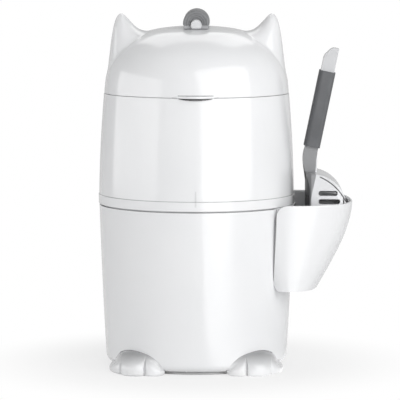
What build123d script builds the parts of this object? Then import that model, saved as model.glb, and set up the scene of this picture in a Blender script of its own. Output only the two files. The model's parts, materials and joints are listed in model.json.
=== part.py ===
from math import cos, radians, sin, sqrt, tan
import os

from build123d import *

os.makedirs("parts", exist_ok=True)

LOW = (Align.CENTER, Align.CENTER, Align.MIN)
HIGH = (Align.CENTER, Align.CENTER, Align.MAX)
HANGING = (Align.CENTER, Align.MAX, Align.MAX)
PLAIN = (Align.NONE, Align.NONE, Align.NONE)

# ---- driving dimensions, mm; Z is the pail's axis, its front faces -Y ----
shell_wall = 2.8
body_gap = 0.4
pin_clearance = 0.05
screw_play = 0.2
screw_start = 45.0

# bucket
bucket_rim_radius = 117.8
bucket_height = 190.7
bucket_floor_z = 4.5
bucket_taper = 7.8
bucket_waist_taper = 2.2
bucket_waist_share = 0.658
bucket_corner = 9.0
foot_ring_inset = 20.0
foot_ring_width = 8.0
foot_key = 1.2
foot_key_width = 4.0
foot_pad_radius = 12.0

# paws, each a domed shell in an arched niche of the bucket
paw_radius = 33.0
paw_x = 69.0
paw_inset = 30.0
paw_wall = 3.0
paw_tail = 12.0
niche_inset = 48.0
niche_gap = 0.4
toe_sizes = ((-25.0, -10.5, 4.0, 11.0), (-5.5, -18.2, 6.0, 15.2), (20.0, -13.2, 5.0, 14.0))
paw_screw_spread = 22.0
paw_screw_z = 15.0
paw_screw_radius = 1.9
paw_screw_head = 3.8
paw_screw_length = 12.0

# collar band between bucket and head
band_overhang = 0.9
band_gap = 1.7
band_height = 11.6
band_lip = 2.8
band_web = 2.8
band_edge = 0.6
band_hook_room = 2.8
arm_low = 0.6
spigot_play = 2.8
spigot_wall = 2.0
spigot_reach = 4.2
index_width = 1.8
index_height = 13.5
index_rise = 5.3
index_depth = 0.8
index_shallow = 0.4
collar_screw_inset = 6.2
collar_screw_count = 6
collar_screw_radius = 1.6
collar_screw_head = 3.1
collar_screw_length = 9.0

# head housing
head_height = 121.2
head_setback = 0.6
head_taper = 6.2
head_waist_taper = 1.95
head_waist_share = 0.491
flange_inset = 11.2
flange_thick = 3.0
ledge_drop = 11.5
ledge_thick = 3.0
ledge_haunch = 4.0
boss_radius = 4.0
collar_boss_height = 9.0

# refill seat with its throat
seat_flange_thick = 2.2
seat_wall = 2.2
seat_cup_inset = 19.9
throat_top_radius = 58.0
throat_narrowing = 6.0
throat_height = 32.0
throat_flange_width = 12.0
seat_screw_inset = 15.1
seat_screw_count = 4
seat_screw_radius = 1.4
seat_screw_length = 10.0

# gripping diaphragm under the throat
diaphragm_thick = 1.8
diaphragm_hole = 12.0
diaphragm_slots = 8
clamp_thick = 2.4
clamp_screw_inset = 4.5
clamp_screw_count = 6
clamp_screw_radius = 1.4
slot_middle = 28.0
slot_reach = 34.0
slot_width = 1.6

# film cassette, turned by the knob
cassette_height = 55.0
cassette_drop = 11.4
cassette_side_gap = 3.0
cassette_under_gap = 0.8
cassette_wall = 1.6
bore_gap = 2.0
cap_thick = 3.0
cap_nose_lap = 0.6
cap_overhang = 1.5
dog_height = 4.0
dog_inset = 18.0
dog_length = 10.0
dog_thick = 2.5
lug_count = 3
lug_start = 30.0
lug_width = 11.0
lug_length = 8.0
lug_play = 2.5
lug_low_gap = 0.8
film_gap = 1.5
film_head_room = 9.4
film_slot = 4.0
sleeve_drop = 3.0
sleeve_wall = 0.8
sleeve_gap = 1.0
sleeve_low_gap = 1.6
sleeve_floor_rise = 10.0
twist_radius = 5.0
twist_length = 22.0

# lid
lid_gap = 0.6
lid_setback = 0.4
dome_height = 80.7
crown_flatness = 2.861
dome_shares = (
    (0.9713, 0.2999, 15),
    (0.8789, 0.5725, 36),
    (0.7175, 0.7794, 55),
    (0.4933, 0.9331, 76),
    (0.2511, 0.9851, 85),
)
ear_wall = 2.4
ear_shapes = (
    (34.0, 27.5, 29.0, -59.0),
    (33.7, 27.2, 27.0, -29.0),
    (30.9, 20.9, 19.5, -7.0),
    (23.9, 11.9, 11.5, 4.0),
    (20.6, 5.6, 6.0, 11.5),
    (20.5, 2.0, 2.2, 15.0),
)
tab_radius = 38.0
tab_overhang = 5.5
tab_rise = 2.1
tab_lip = 3.2
tab_drop = 5.5
tab_foot = 4.6
tab_play = 0.7
liner_rise = 5.7
liner_thick = 2.4
liner_inset = 6.5
liner_skirt_drop = 2.9
liner_skirt_wall = 2.2
liner_screw_inset = 21.0
liner_screw_count = 4
liner_screw_radius = 1.6
liner_screw_depth = 10.0
liner_hole_play = 1.0
seal_squeeze_gap = 0.6
seal_overhang = 1.0
seal_width = 5.4
seal_bead = 1.6

# turning knob on the crown and what it drives
grip_radius = 15.8
grip_rise = 6.2
grip_length = 88.0
grip_edge = 4.0
grip_grooves = (7.2, 9.8)
grip_groove_width = 0.9
grip_groove_depth = 0.6
core_radius = 6.6
core_rise = 2.2
core_end = 3.5
core_foot = 9.6
core_skirt = 14.0
core_bevel = 1.2
core_hub_radius = 12.5
core_hub_rise = 13.0
knob_gap = 0.8
spindle_radius = 5.0
spindle_rise = 9.0
spindle_foot = 6.0
bush_radius = 8.0
bush_height = 15.0
bush_flange = 2.0
bush_flange_radius = 11.0
knob_pin_radius = 1.5
knob_pin_length = 18.0
knob_pin_rise = 5.0
spider_rise = 7.0
spider_thick = 4.0
spider_arm = 16.0
spider_hub_radius = 12.0
spider_hub_height = 12.0
end_screw_radius = 2.0
end_screw_head = 7.0
end_screw_length = 14.0

# rear hinges
lid_hinge_out = 6.7
lid_hinge_drop = 3.3
head_hinge_out = 7.2
head_hinge_drop = 3.7
knuckle_radius = 5.0
hinge_pin_radius = 2.0
middle_knuckle = 28.0
side_knuckle = 20.0
knuckle_gap = 0.4
web_top = 2.4

# scoop holder hooked on the bucket's rim
holder_rise = 3.8
holder_height = 109.0
holder_half_width = 70.5
holder_wall = 2.4
holder_gap = 0.3
holder_corner = 44.0
pocket_root = 50.0
pocket_shape = ((0.0, 25.2), (0.2018, 37.7), (0.4587, 53.2), (0.7339, 65.5), (1.0, 71.2))
holder_narrowing = 1.0
holder_edge_slope = 3.4
holder_shoulder = 13.0
strap_thick = 1.4
strap_angle = 35.5
strap_drop = 19.2
hook_drop = 11.0
liner_wall = 1.6
liner_play = 0.3
liner_drop = 1.0
strap_play = 0.7

# scoop standing in the holder
handle_out = 21.7
handle_rise = 66.0
handle_lean = 11.6
sleeve_length = 93.0
sleeve_thick = 19.6
sleeve_width = 26.0
tang_thick = 16.0
tang_width = 20.0
tang_root = 6.0
tip_length = 29.5
tip_shoulder = 15.0
tip_flat = 4.0
sleeve_corner = 5.5
neck_rear = ((-7.7, -0.1), (-10.8, -15.7), (-9.9, -26.4), (-7.7, -43.0))
neck_front = ((3.9, -51.0), (6.4, -25.7), (6.8, -2.5))
blade_out = 20.2
blade_half_width = 46.0
blade_corner = 12.0
blade_wall = 2.2
blade_bow = 6.5
blade_back = 8.0
blade_rise = 36.0
blade_heel_reach = 31.0
blade_heel_rise = 23.0
blade_tip_gap = 0.4
blade_tip_corner = 20.0
blade_shape = ((-1.5, 0.0), (8.0, 0.204), (20.0, 0.434), (33.0, 0.741), (42.0, 1.0096))
floor_slot_rise = 17.3
floor_slot_length = 96.0
floor_slot_width = 5.0
floor_slot_pitch = 10.5
floor_slot_count = 7
side_slot_start = 8.5
side_slot_height = 6.0
side_slot_shape = ((13.0, 31.5), (3.0, 34.5), (-9.0, 32.0), (-21.0, 28.0), (-33.0, 23.0), (-45.0, 18.0))

# ---- values worked out from them ----
bucket_rim_z = bucket_floor_z + bucket_height
bucket_base_radius = bucket_rim_radius - bucket_taper
bucket_waist_radius = bucket_rim_radius - bucket_waist_taper
bucket_waist_z = bucket_floor_z + bucket_waist_share * bucket_height
bucket_inner_radius = bucket_rim_radius - shell_wall
foot_ring_radius = bucket_base_radius - foot_ring_inset
paw_sides = (("paw_left", -1), ("paw_right", 1))
paw_y = paw_inset - bucket_base_radius
niche_y = niche_inset - bucket_base_radius
paw_tail_y = niche_y + paw_tail
niche_radius = paw_radius + niche_gap

band_radius = bucket_rim_radius + band_overhang
band_bottom_z = bucket_rim_z + band_gap
band_top_z = band_bottom_z + band_height
band_roof_z = band_bottom_z + band_hook_room
spigot_radius = bucket_inner_radius - spigot_play
spigot_bottom_z = bucket_rim_z - spigot_reach
index_low_z = band_bottom_z + index_rise
index_top_z = band_top_z + index_height
collar_screw_circle = spigot_radius - collar_screw_inset
flange_reach = spigot_radius - flange_inset

head_base_radius = band_radius - head_setback
head_top_radius = head_base_radius - head_taper
head_waist_radius = head_base_radius - head_waist_taper
head_top_z = band_top_z + head_height
head_waist_z = band_top_z + head_waist_share * head_height
housing_inner_radius = head_top_radius - shell_wall
ledge_z = head_top_z - ledge_drop
flange_top_z = ledge_z + ledge_thick

seat_top_z = flange_top_z + seat_flange_thick
seat_cup_radius = head_top_radius - seat_cup_inset
seat_screw_circle = head_top_radius - seat_screw_inset
cassette_top_z = seat_top_z - cassette_drop
cassette_low_z = cassette_top_z - cassette_height
seat_floor_z = cassette_low_z - cassette_under_gap - seat_wall
throat_low_radius = throat_top_radius - throat_narrowing
throat_low_z = seat_floor_z - throat_height
throat_flange_radius = throat_low_radius + throat_flange_width
throat_flange_low_z = throat_low_z - seat_wall
clamp_screw_circle = throat_flange_radius - clamp_screw_inset
diaphragm_low_z = throat_flange_low_z - diaphragm_thick
clamp_low_z = diaphragm_low_z - clamp_thick

cassette_radius = seat_cup_radius - cassette_side_gap
cassette_bore = throat_top_radius + bore_gap
cap_nose = throat_top_radius - cap_nose_lap
cap_top_z = cassette_top_z + cap_thick
dog_radius = cassette_radius - dog_inset
film_height = cassette_height - cassette_wall - film_head_room
sleeve_top_z = cassette_top_z - sleeve_drop
sleeve_top_radius = throat_top_radius - sleeve_gap
sleeve_low_radius = throat_low_radius - sleeve_low_gap
sleeve_floor_z = throat_low_z + sleeve_floor_rise
twist_low_z = throat_low_z - twist_length
lug_low_z = cap_top_z + lug_low_gap
spindle_low_z = cap_top_z + spindle_foot
spider_z = cap_top_z + spider_rise

lid_rim_z = head_top_z + lid_gap
lid_rim_radius = head_top_radius - lid_setback
lid_crown_z = lid_rim_z + dome_height
crown_radius = crown_flatness * lid_rim_radius
dome_points = ((lid_rim_radius, lid_rim_z, 3.5),) + tuple(
    (share * lid_rim_radius, lid_rim_z + rise * dome_height, angle) for share, rise, angle in dome_shares
)
ear_sections = tuple((lid_rim_radius - a, x, y, lid_crown_z + z) for a, x, y, z in ear_shapes)
tab_reach = lid_rim_radius + tab_overhang
tab_top_z = lid_rim_z + tab_rise
tab_low_z = lid_rim_z - tab_drop
liner_z = lid_rim_z + liner_rise
liner_radius = lid_rim_radius - liner_inset
liner_skirt_z = lid_rim_z - liner_skirt_drop
liner_screw_circle = liner_radius - liner_screw_inset
seal_radius = liner_radius + seal_overhang
seal_low_z = seat_top_z + seal_squeeze_gap

grip_z = lid_crown_z + grip_rise
core_z = lid_crown_z + core_rise
core_length = grip_length + 2 * core_end
core_hub_top_z = lid_crown_z + core_hub_rise
spindle_top_z = lid_crown_z + spindle_rise
knob_pin_z = lid_crown_z + knob_pin_rise
bush_low_z = lid_crown_z - bush_height

lid_hinge_y = head_top_radius + lid_hinge_out
lid_hinge_z = lid_rim_z - lid_hinge_drop
head_hinge_y = bucket_rim_radius + head_hinge_out
head_hinge_z = bucket_rim_z - head_hinge_drop
side_knuckle_x = middle_knuckle / 2 + knuckle_gap + side_knuckle / 2
hinge_pin_length = middle_knuckle + 2 * (knuckle_gap + side_knuckle)

holder_rim_z = bucket_rim_z + holder_rise
holder_low_z = holder_rim_z - holder_height
holder_heights = tuple(holder_low_z + share * holder_height for share, out in pocket_shape)
holder_reaches = tuple(bucket_rim_radius + out for share, out in pocket_shape)
holder_edge_top_x = sqrt(bucket_rim_radius**2 - holder_half_width**2) + holder_gap
holder_edge_low_x = holder_edge_top_x - holder_edge_slope
hook_top_z = bucket_rim_z + strap_thick
hook_inner_radius = bucket_inner_radius - strap_play
hook_outer_radius = bucket_rim_radius + 2 * holder_gap
strap_low_z = bucket_rim_z - strap_drop
strap_reach = 2 * bucket_rim_radius

handle_x = bucket_rim_radius + handle_out
handle_z = holder_rim_z + handle_rise
blade_floor_x = bucket_rim_radius + blade_out
blade_top_z = holder_rim_z + blade_rise
blade_tip_z = holder_low_z + holder_wall + liner_play + liner_wall + blade_tip_gap
blade_heel_x = blade_floor_x + blade_heel_reach
blade_heel_z = holder_rim_z + blade_heel_rise
blade_rim = tuple(
    (blade_floor_x + out, blade_tip_z + share * (holder_rim_z - blade_tip_z)) for out, share in blade_shape
)
floor_slot_z = blade_tip_z + floor_slot_rise
side_slot_x = blade_floor_x + side_slot_start
side_slots = tuple((holder_rim_z + rise, blade_floor_x + out) for rise, out in side_slot_shape)
neck_back_line = tuple((handle_x + x, handle_z + z) for x, z in neck_rear)
neck_face_line = tuple((handle_x + x, handle_z + z) for x, z in neck_front)


def crown_height(radius, rise=0.0):
    """Height of the lid's crown at a distance from the axis."""
    return lid_crown_z + rise - radius**2 / (2 * crown_radius)


def bucket_outline(inset):
    """Half section of the bucket's form, moved inwards by inset."""
    base = bucket_base_radius - inset
    corner = bucket_corner - inset
    low = bucket_floor_z + inset
    with BuildSketch(Plane.XZ) as outline:
        with BuildLine():
            Line((0, low), (base - corner, low))
            RadiusArc((base - corner, low), (base, low + corner), -corner)
            ThreePointArc(
                (base, low + corner),
                (bucket_waist_radius - inset, bucket_waist_z),
                (bucket_rim_radius - inset, bucket_rim_z),
            )
            Polyline((bucket_rim_radius - inset, bucket_rim_z), (0, bucket_rim_z), (0, low))
        make_face()
    return outline.sketch


def housing_outline(inset):
    """Half section of the head housing's form, moved inwards by inset."""
    with BuildSketch(Plane.XZ) as outline:
        with BuildLine():
            ThreePointArc(
                (head_base_radius - inset, band_top_z),
                (head_waist_radius - inset, head_waist_z),
                (head_top_radius - inset, head_top_z),
            )
            Polyline(
                (head_top_radius - inset, head_top_z),
                (0, head_top_z),
                (0, band_top_z),
                (head_base_radius - inset, band_top_z),
            )
        make_face()
    return outline.sketch


def dome_outline(inset):
    """Half section of the lid's dome, moved inwards by inset along its normals."""
    points = [(r - inset * cos(radians(a)), z - inset * sin(radians(a))) for r, z, a in dome_points]
    points[0] = (lid_rim_radius - inset, lid_rim_z)
    crown = (0, lid_crown_z - inset)
    with BuildSketch(Plane.XZ) as outline:
        with BuildLine():
            Spline(*points, crown, tangents=((-0.06, 1), (-1, 0)))
            Polyline(crown, (0, lid_rim_z), points[0])
        make_face()
    return outline.sketch


def ring_section(*corners):
    """Half section drawn through radius and height pairs."""
    with BuildSketch(Plane.XZ) as section:
        with BuildLine():
            Polyline(*corners, close=True)
        make_face()
    return section.sketch


def across(y, z):
    """A place on the X direction through y and z, for hinge barrels and pins."""
    return Location((0, y, z), (0, 90, 0))


# ---- bucket with its arched niches ----
with BuildPart() as niche_walls:
    for name, side in paw_sides:
        with BuildSketch(Plane.XZ.offset(-niche_y - shell_wall)):
            with Locations((side * paw_x, 0)):
                Circle(niche_radius + shell_wall)
        extrude(amount=bucket_rim_radius)
    revolve(bucket_outline(0), axis=Axis.Z, mode=Mode.INTERSECT)

with BuildPart() as bucket:
    revolve(bucket_outline(0), axis=Axis.Z)
    # rear knuckles of the head's hinge
    with Locations((-side_knuckle_x, 0, 0), (side_knuckle_x, 0, 0)):
        with Locations(across(head_hinge_y, head_hinge_z)):
            Cylinder(knuckle_radius, side_knuckle)
        with Locations((0, head_hinge_y, head_hinge_z + web_top)):
            Box(side_knuckle, head_hinge_y, knuckle_radius + web_top, align=HANGING)
    with Locations(across(head_hinge_y, head_hinge_z)):
        Cylinder(hinge_pin_radius, hinge_pin_length, mode=Mode.SUBTRACT)
    revolve(bucket_outline(shell_wall), axis=Axis.Z, mode=Mode.SUBTRACT)
    add(niche_walls.part)
    for name, side in paw_sides:
        with BuildSketch(Plane.XZ.offset(-niche_y)):
            with Locations((side * paw_x, 0)):
                Circle(niche_radius)
        extrude(amount=bucket_rim_radius, mode=Mode.SUBTRACT)
        with Locations((side * paw_x, niche_y, paw_screw_z)):
            with GridLocations(paw_screw_spread, 0, 2, 1):
                with Locations(Location((0, 0, 0), (90, 0, 0))):
                    Cylinder(paw_screw_radius + screw_play, 3 * shell_wall, mode=Mode.SUBTRACT)
    # groove and socket that key the foot ring and its middle pad
    add(
        ring_section(
            (foot_ring_radius - foot_key_width / 2, bucket_floor_z),
            (foot_ring_radius + foot_key_width / 2, bucket_floor_z),
            (foot_ring_radius + foot_key_width / 2, bucket_floor_z + foot_key),
            (foot_ring_radius - foot_key_width / 2, bucket_floor_z + foot_key),
        )
    )
    revolve(axis=Axis.Z, mode=Mode.SUBTRACT)
    with Locations((0, 0, bucket_floor_z)):
        Cylinder(foot_pad_radius - foot_key_width, foot_key, align=LOW, mode=Mode.SUBTRACT)
bucket.part.label = "bucket"
export_step(bucket.part, "parts/bucket.step")

# ---- rubber foot ring, interrupted by the paws, and a pad in its middle ----
with BuildPart() as foot_ring:
    add(
        ring_section(
            (foot_ring_radius - foot_ring_width / 2, 0),
            (foot_ring_radius + foot_ring_width / 2, 0),
            (foot_ring_radius + foot_ring_width / 2, bucket_floor_z),
            (foot_ring_radius + foot_key_width / 2, bucket_floor_z),
            (foot_ring_radius + foot_key_width / 2, bucket_floor_z + foot_key),
            (foot_ring_radius - foot_key_width / 2, bucket_floor_z + foot_key),
            (foot_ring_radius - foot_key_width / 2, bucket_floor_z),
            (foot_ring_radius - foot_ring_width / 2, bucket_floor_z),
        )
    )
    revolve(axis=Axis.Z)
    for name, side in paw_sides:
        with BuildSketch(Plane.XZ.offset(-niche_y - shell_wall - foot_ring_width)):
            with Locations((side * paw_x, 0)):
                Circle(niche_radius + shell_wall)
        extrude(amount=bucket_rim_radius, mode=Mode.SUBTRACT)
    # pad under the middle of the floor
    Cylinder(foot_pad_radius, bucket_floor_z, align=LOW)
    with Locations((0, 0, bucket_floor_z)):
        Cylinder(foot_pad_radius - foot_key_width, foot_key, align=LOW)
foot_ring.part.label = "foot_ring"
export_step(foot_ring.part, "parts/foot_ring.step")

# ---- paws and their screws ----
with BuildPart() as bucket_bulk:
    revolve(bucket_outline(-niche_gap), axis=Axis.Z)
    Cylinder(bucket_base_radius - bucket_corner, bucket_floor_z, align=LOW)
    split(bisect_by=Plane.XZ.offset(-niche_y + niche_gap), keep=Keep.BOTTOM)

for name, side in paw_sides:
    with BuildPart() as paw:
        for toe_x, toe_y, toe_z, toe_radius in toe_sizes:
            with Locations((side * (paw_x - toe_x), paw_y + toe_y, toe_z)):
                Sphere(toe_radius)
        with BuildSketch(Plane.XZ):
            with Locations((side * paw_x, 0)):
                Circle(paw_radius)
                Rectangle(2 * paw_radius, paw_radius, align=(Align.CENTER, Align.MAX), mode=Mode.SUBTRACT)
        extrude(amount=bucket_rim_radius, mode=Mode.INTERSECT)
        # round front, half a cylinder behind it
        with Locations(Location((side * paw_x, paw_y, 0), (0, 0, 180))):
            Sphere(paw_radius, 0, 90, 180, align=PLAIN)
        with BuildSketch(Plane.XZ.offset(-paw_tail_y)):
            with Locations((side * paw_x, 0)):
                Circle(paw_radius)
                Rectangle(2 * paw_radius, paw_radius, align=(Align.CENTER, Align.MAX), mode=Mode.SUBTRACT)
        extrude(amount=paw_tail_y - paw_y)
        add(bucket_bulk.part, mode=Mode.SUBTRACT)
        # hollow underneath, closed at the back where the screws bite
        with Locations(Location((side * paw_x, paw_y, 0), (0, 0, 180))):
            Sphere(paw_radius - paw_wall, 0, 90, 180, align=PLAIN, mode=Mode.SUBTRACT)
        with BuildSketch(Plane.XZ.offset(-niche_y + paw_wall)):
            with Locations((side * paw_x, 0)):
                Circle(paw_radius - paw_wall)
                Rectangle(2 * paw_radius, paw_radius, align=(Align.CENTER, Align.MAX), mode=Mode.SUBTRACT)
        extrude(amount=niche_y - paw_wall - paw_y, mode=Mode.SUBTRACT)
        with Locations((side * paw_x, niche_y - paw_wall, paw_screw_z)):
            with GridLocations(paw_screw_spread, 0, 2, 1):
                with Locations(Location((0, 0, 0), (90, 0, 0))):
                    Cylinder(2 * paw_screw_radius, paw_screw_length - paw_wall, align=LOW)
                with Locations(Location((0, 0, 0), (-90, 0, 0))):
                    Cylinder(2 * paw_screw_radius, paw_wall - niche_gap, align=LOW)
        with Locations((side * paw_x, niche_y, paw_screw_z)):
            with GridLocations(paw_screw_spread, 0, 2, 1):
                with Locations(Location((0, 0, 0), (90, 0, 0))):
                    Cylinder(paw_screw_radius, paw_screw_length, align=LOW, mode=Mode.SUBTRACT)
    paw.part.label = name
    export_step(paw.part, f"parts/{name}.step")

with BuildPart() as paw_screws:
    for name, side in paw_sides:
        with Locations((side * paw_x, niche_y + shell_wall, paw_screw_z)):
            with GridLocations(paw_screw_spread, 0, 2, 1):
                with Locations(Location((0, 0, 0), (90, 0, 0))):
                    Cylinder(paw_screw_radius, paw_screw_length, align=LOW)
                with Locations(Location((0, 0, 0), (-90, 0, 0))):
                    Cone(paw_screw_head, paw_screw_radius, paw_screw_radius, align=LOW)
paw_screws.part.label = "paw_screws"
export_step(paw_screws.part, "parts/paw_screws.step")

# ---- collar band, an inverted channel over the bucket's rim ----
with BuildPart() as collar_band:
    add(
        ring_section(
            (band_radius - band_lip, band_bottom_z),
            (band_radius - band_edge, band_bottom_z),
            (band_radius, band_bottom_z + band_edge),
            (band_radius, band_top_z - band_edge),
            (band_radius - band_edge, band_top_z),
            (flange_reach, band_top_z),
            (flange_reach, band_top_z - band_web),
            (spigot_radius - spigot_wall, band_top_z - band_web),
            (spigot_radius - spigot_wall, spigot_bottom_z),
            (spigot_radius, spigot_bottom_z),
            (spigot_radius, band_roof_z),
            (band_radius - band_lip, band_roof_z),
        )
    )
    revolve(axis=Axis.Z)
    # centre knuckle of the head's hinge
    with Locations(across(head_hinge_y, head_hinge_z)):
        Cylinder(knuckle_radius, middle_knuckle)
    with BuildSketch(Plane.YZ.offset(-middle_knuckle / 2)):
        with BuildLine():
            Polyline(
                (band_radius - band_lip, band_bottom_z + arm_low),
                (head_hinge_y + knuckle_radius, head_hinge_z),
                (head_hinge_y + knuckle_radius, band_bottom_z),
                (head_hinge_y, band_top_z - band_web),
                (band_radius - band_lip, band_top_z - band_web),
                close=True,
            )
        make_face()
    extrude(amount=middle_knuckle)
    with Locations(across(head_hinge_y, head_hinge_z)):
        Cylinder(hinge_pin_radius + pin_clearance, middle_knuckle, mode=Mode.SUBTRACT)
    # holes for the collar screws
    with Locations(Plane.XY.offset(band_top_z)):
        with PolarLocations(collar_screw_circle, collar_screw_count):
            Hole(collar_screw_radius + screw_play, band_web)
    # shallow index mark
    with Locations((0, -band_radius - band_edge, index_low_z)):
        Box(
            index_width,
            2 * index_shallow + 2 * band_edge,
            band_top_z - index_low_z,
            align=LOW,
            mode=Mode.SUBTRACT,
        )
collar_band.part.label = "collar_band"
export_step(collar_band.part, "parts/collar_band.step")

with BuildPart() as collar_screws:
    with PolarLocations(collar_screw_circle, collar_screw_count):
        with Locations((0, 0, band_top_z - band_web)):
            Cylinder(collar_screw_radius, collar_screw_length, align=LOW)
            Cylinder(collar_screw_head, collar_screw_radius, align=HIGH)
collar_screws.part.label = "collar_screws"
export_step(collar_screws.part, "parts/collar_screws.step")

with BuildPart() as head_hinge_pin:
    with Locations(across(head_hinge_y, head_hinge_z)):
        Cylinder(hinge_pin_radius, hinge_pin_length)
head_hinge_pin.part.label = "head_hinge_pin"
export_step(head_hinge_pin.part, "parts/head_hinge_pin.step")

# ---- head housing ----
with BuildPart() as head_housing:
    revolve(housing_outline(0), axis=Axis.Z)
    # side knuckles of the lid's hinge
    with Locations((-side_knuckle_x, 0, 0), (side_knuckle_x, 0, 0)):
        with Locations(across(lid_hinge_y, lid_hinge_z)):
            Cylinder(knuckle_radius, side_knuckle)
        with Locations((0, lid_hinge_y, lid_hinge_z + web_top)):
            Box(side_knuckle, lid_hinge_y, knuckle_radius + web_top, align=HANGING)
    with Locations(across(lid_hinge_y, lid_hinge_z)):
        Cylinder(hinge_pin_radius, hinge_pin_length, mode=Mode.SUBTRACT)
    revolve(housing_outline(shell_wall), axis=Axis.Z, mode=Mode.SUBTRACT)
    # bottom flange and top ledge
    add(
        ring_section(
            (flange_reach, band_top_z),
            (head_base_radius - shell_wall / 2, band_top_z),
            (head_base_radius - shell_wall / 2, band_top_z + flange_thick),
            (flange_reach, band_top_z + flange_thick),
        )
    )
    revolve(axis=Axis.Z)
    add(
        ring_section(
            (flange_reach, ledge_z),
            (head_top_radius - shell_wall / 2, ledge_z - ledge_haunch),
            (head_top_radius - shell_wall / 2, flange_top_z),
            (flange_reach, flange_top_z),
        )
    )
    revolve(axis=Axis.Z)
    with PolarLocations(collar_screw_circle, collar_screw_count):
        with Locations((0, 0, band_top_z)):
            Cylinder(boss_radius, collar_boss_height, align=LOW)
            Cylinder(collar_screw_radius, collar_boss_height - 1, align=LOW, mode=Mode.SUBTRACT)
    with PolarLocations(seat_screw_circle, seat_screw_count, start_angle=screw_start):
        with Locations((0, 0, flange_top_z)):
            Cylinder(seat_screw_radius, seat_screw_length, align=HIGH, mode=Mode.SUBTRACT)
    # index mark and its sides
    with Locations((0, -band_radius, band_top_z)):
        Box(
            index_width,
            2 * (index_depth + band_edge),
            index_top_z - band_top_z,
            align=LOW,
            mode=Mode.SUBTRACT,
        )
head_housing.part.label = "head_housing"
export_step(head_housing.part, "parts/head_housing.step")

with BuildPart() as lid_hinge_pin:
    with Locations(across(lid_hinge_y, lid_hinge_z)):
        Cylinder(hinge_pin_radius, hinge_pin_length)
lid_hinge_pin.part.label = "lid_hinge_pin"
export_step(lid_hinge_pin.part, "parts/lid_hinge_pin.step")

# ---- refill seat: flange, cup, floor and throat in one moulding ----
with BuildPart() as refill_seat:
    add(
        ring_section(
            (seat_cup_radius, seat_top_z),
            (housing_inner_radius - body_gap, seat_top_z),
            (housing_inner_radius - body_gap, flange_top_z),
            (seat_cup_radius + seat_wall, flange_top_z),
            (seat_cup_radius + seat_wall, seat_floor_z),
            (throat_top_radius + seat_wall, seat_floor_z),
            (throat_low_radius + seat_wall, throat_low_z),
            (throat_flange_radius, throat_low_z),
            (throat_flange_radius, throat_flange_low_z),
            (throat_low_radius, throat_flange_low_z),
            (throat_low_radius, throat_low_z),
            (throat_top_radius, seat_floor_z + seat_wall),
            (seat_cup_radius, seat_floor_z + seat_wall),
        )
    )
    revolve(axis=Axis.Z)
    with Locations(Plane.XY.offset(seat_top_z)):
        with PolarLocations(seat_screw_circle, seat_screw_count, start_angle=screw_start):
            CounterSinkHole(seat_screw_radius + screw_play, 2 * seat_screw_radius, seat_flange_thick, 90)
    with PolarLocations(clamp_screw_circle, clamp_screw_count):
        with Locations((0, 0, throat_low_z)):
            Cylinder(clamp_screw_radius, seat_wall, align=HIGH, mode=Mode.SUBTRACT)
refill_seat.part.label = "refill_seat"
export_step(refill_seat.part, "parts/refill_seat.step")

with BuildPart() as seat_screws:
    with PolarLocations(seat_screw_circle, seat_screw_count, start_angle=screw_start):
        with Locations((0, 0, seat_top_z)):
            Cylinder(seat_screw_radius, seat_flange_thick + seat_screw_length - 1, align=HIGH)
            Cone(seat_screw_radius, 2 * seat_screw_radius - 0.1, seat_screw_radius - 0.1, align=HIGH)
seat_screws.part.label = "seat_screws"
export_step(seat_screws.part, "parts/seat_screws.step")

# ---- diaphragm that grips the film below the throat, with its clamp ring ----
with BuildPart() as diaphragm:
    with BuildSketch(Plane.XY.offset(diaphragm_low_z)):
        Circle(throat_flange_radius)
        Circle(diaphragm_hole, mode=Mode.SUBTRACT)
        with PolarLocations(slot_middle, diaphragm_slots):
            SlotOverall(slot_reach, slot_width, mode=Mode.SUBTRACT)
        with PolarLocations(clamp_screw_circle, clamp_screw_count):
            Circle(clamp_screw_radius, mode=Mode.SUBTRACT)
    extrude(amount=diaphragm_thick)
diaphragm.part.label = "diaphragm"
export_step(diaphragm.part, "parts/diaphragm.step")

with BuildPart() as clamp_ring:
    with BuildSketch(Plane.XY.offset(clamp_low_z)):
        Circle(throat_flange_radius)
        Circle(throat_low_radius, mode=Mode.SUBTRACT)
        with PolarLocations(clamp_screw_circle, clamp_screw_count):
            Circle(clamp_screw_radius, mode=Mode.SUBTRACT)
    extrude(amount=clamp_thick)
clamp_ring.part.label = "clamp_ring"
export_step(clamp_ring.part, "parts/clamp_ring.step")

with BuildPart() as clamp_screws:
    with PolarLocations(clamp_screw_circle, clamp_screw_count):
        with Locations((0, 0, clamp_low_z)):
            Cylinder(clamp_screw_radius, throat_low_z - clamp_low_z, align=LOW)
            Cylinder(2 * clamp_screw_radius, clamp_screw_radius, align=HIGH)
clamp_screws.part.label = "clamp_screws"
export_step(clamp_screws.part, "parts/clamp_screws.step")

# ---- film cassette ----
with BuildPart() as cassette_tub:
    add(
        ring_section(
            (cassette_radius, cassette_low_z),
            (cassette_radius, cassette_top_z),
            (cassette_radius - cassette_wall, cassette_top_z),
            (cassette_radius - cassette_wall, cassette_low_z + cassette_wall),
            (cassette_bore + cassette_wall, cassette_low_z + cassette_wall),
            (cassette_bore + cassette_wall, cassette_top_z - film_slot),
            (cassette_bore, cassette_top_z - film_slot),
            (cassette_bore, cassette_low_z),
        )
    )
    revolve(axis=Axis.Z)
cassette_tub.part.label = "cassette_tub"
export_step(cassette_tub.part, "parts/cassette_tub.step")

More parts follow.
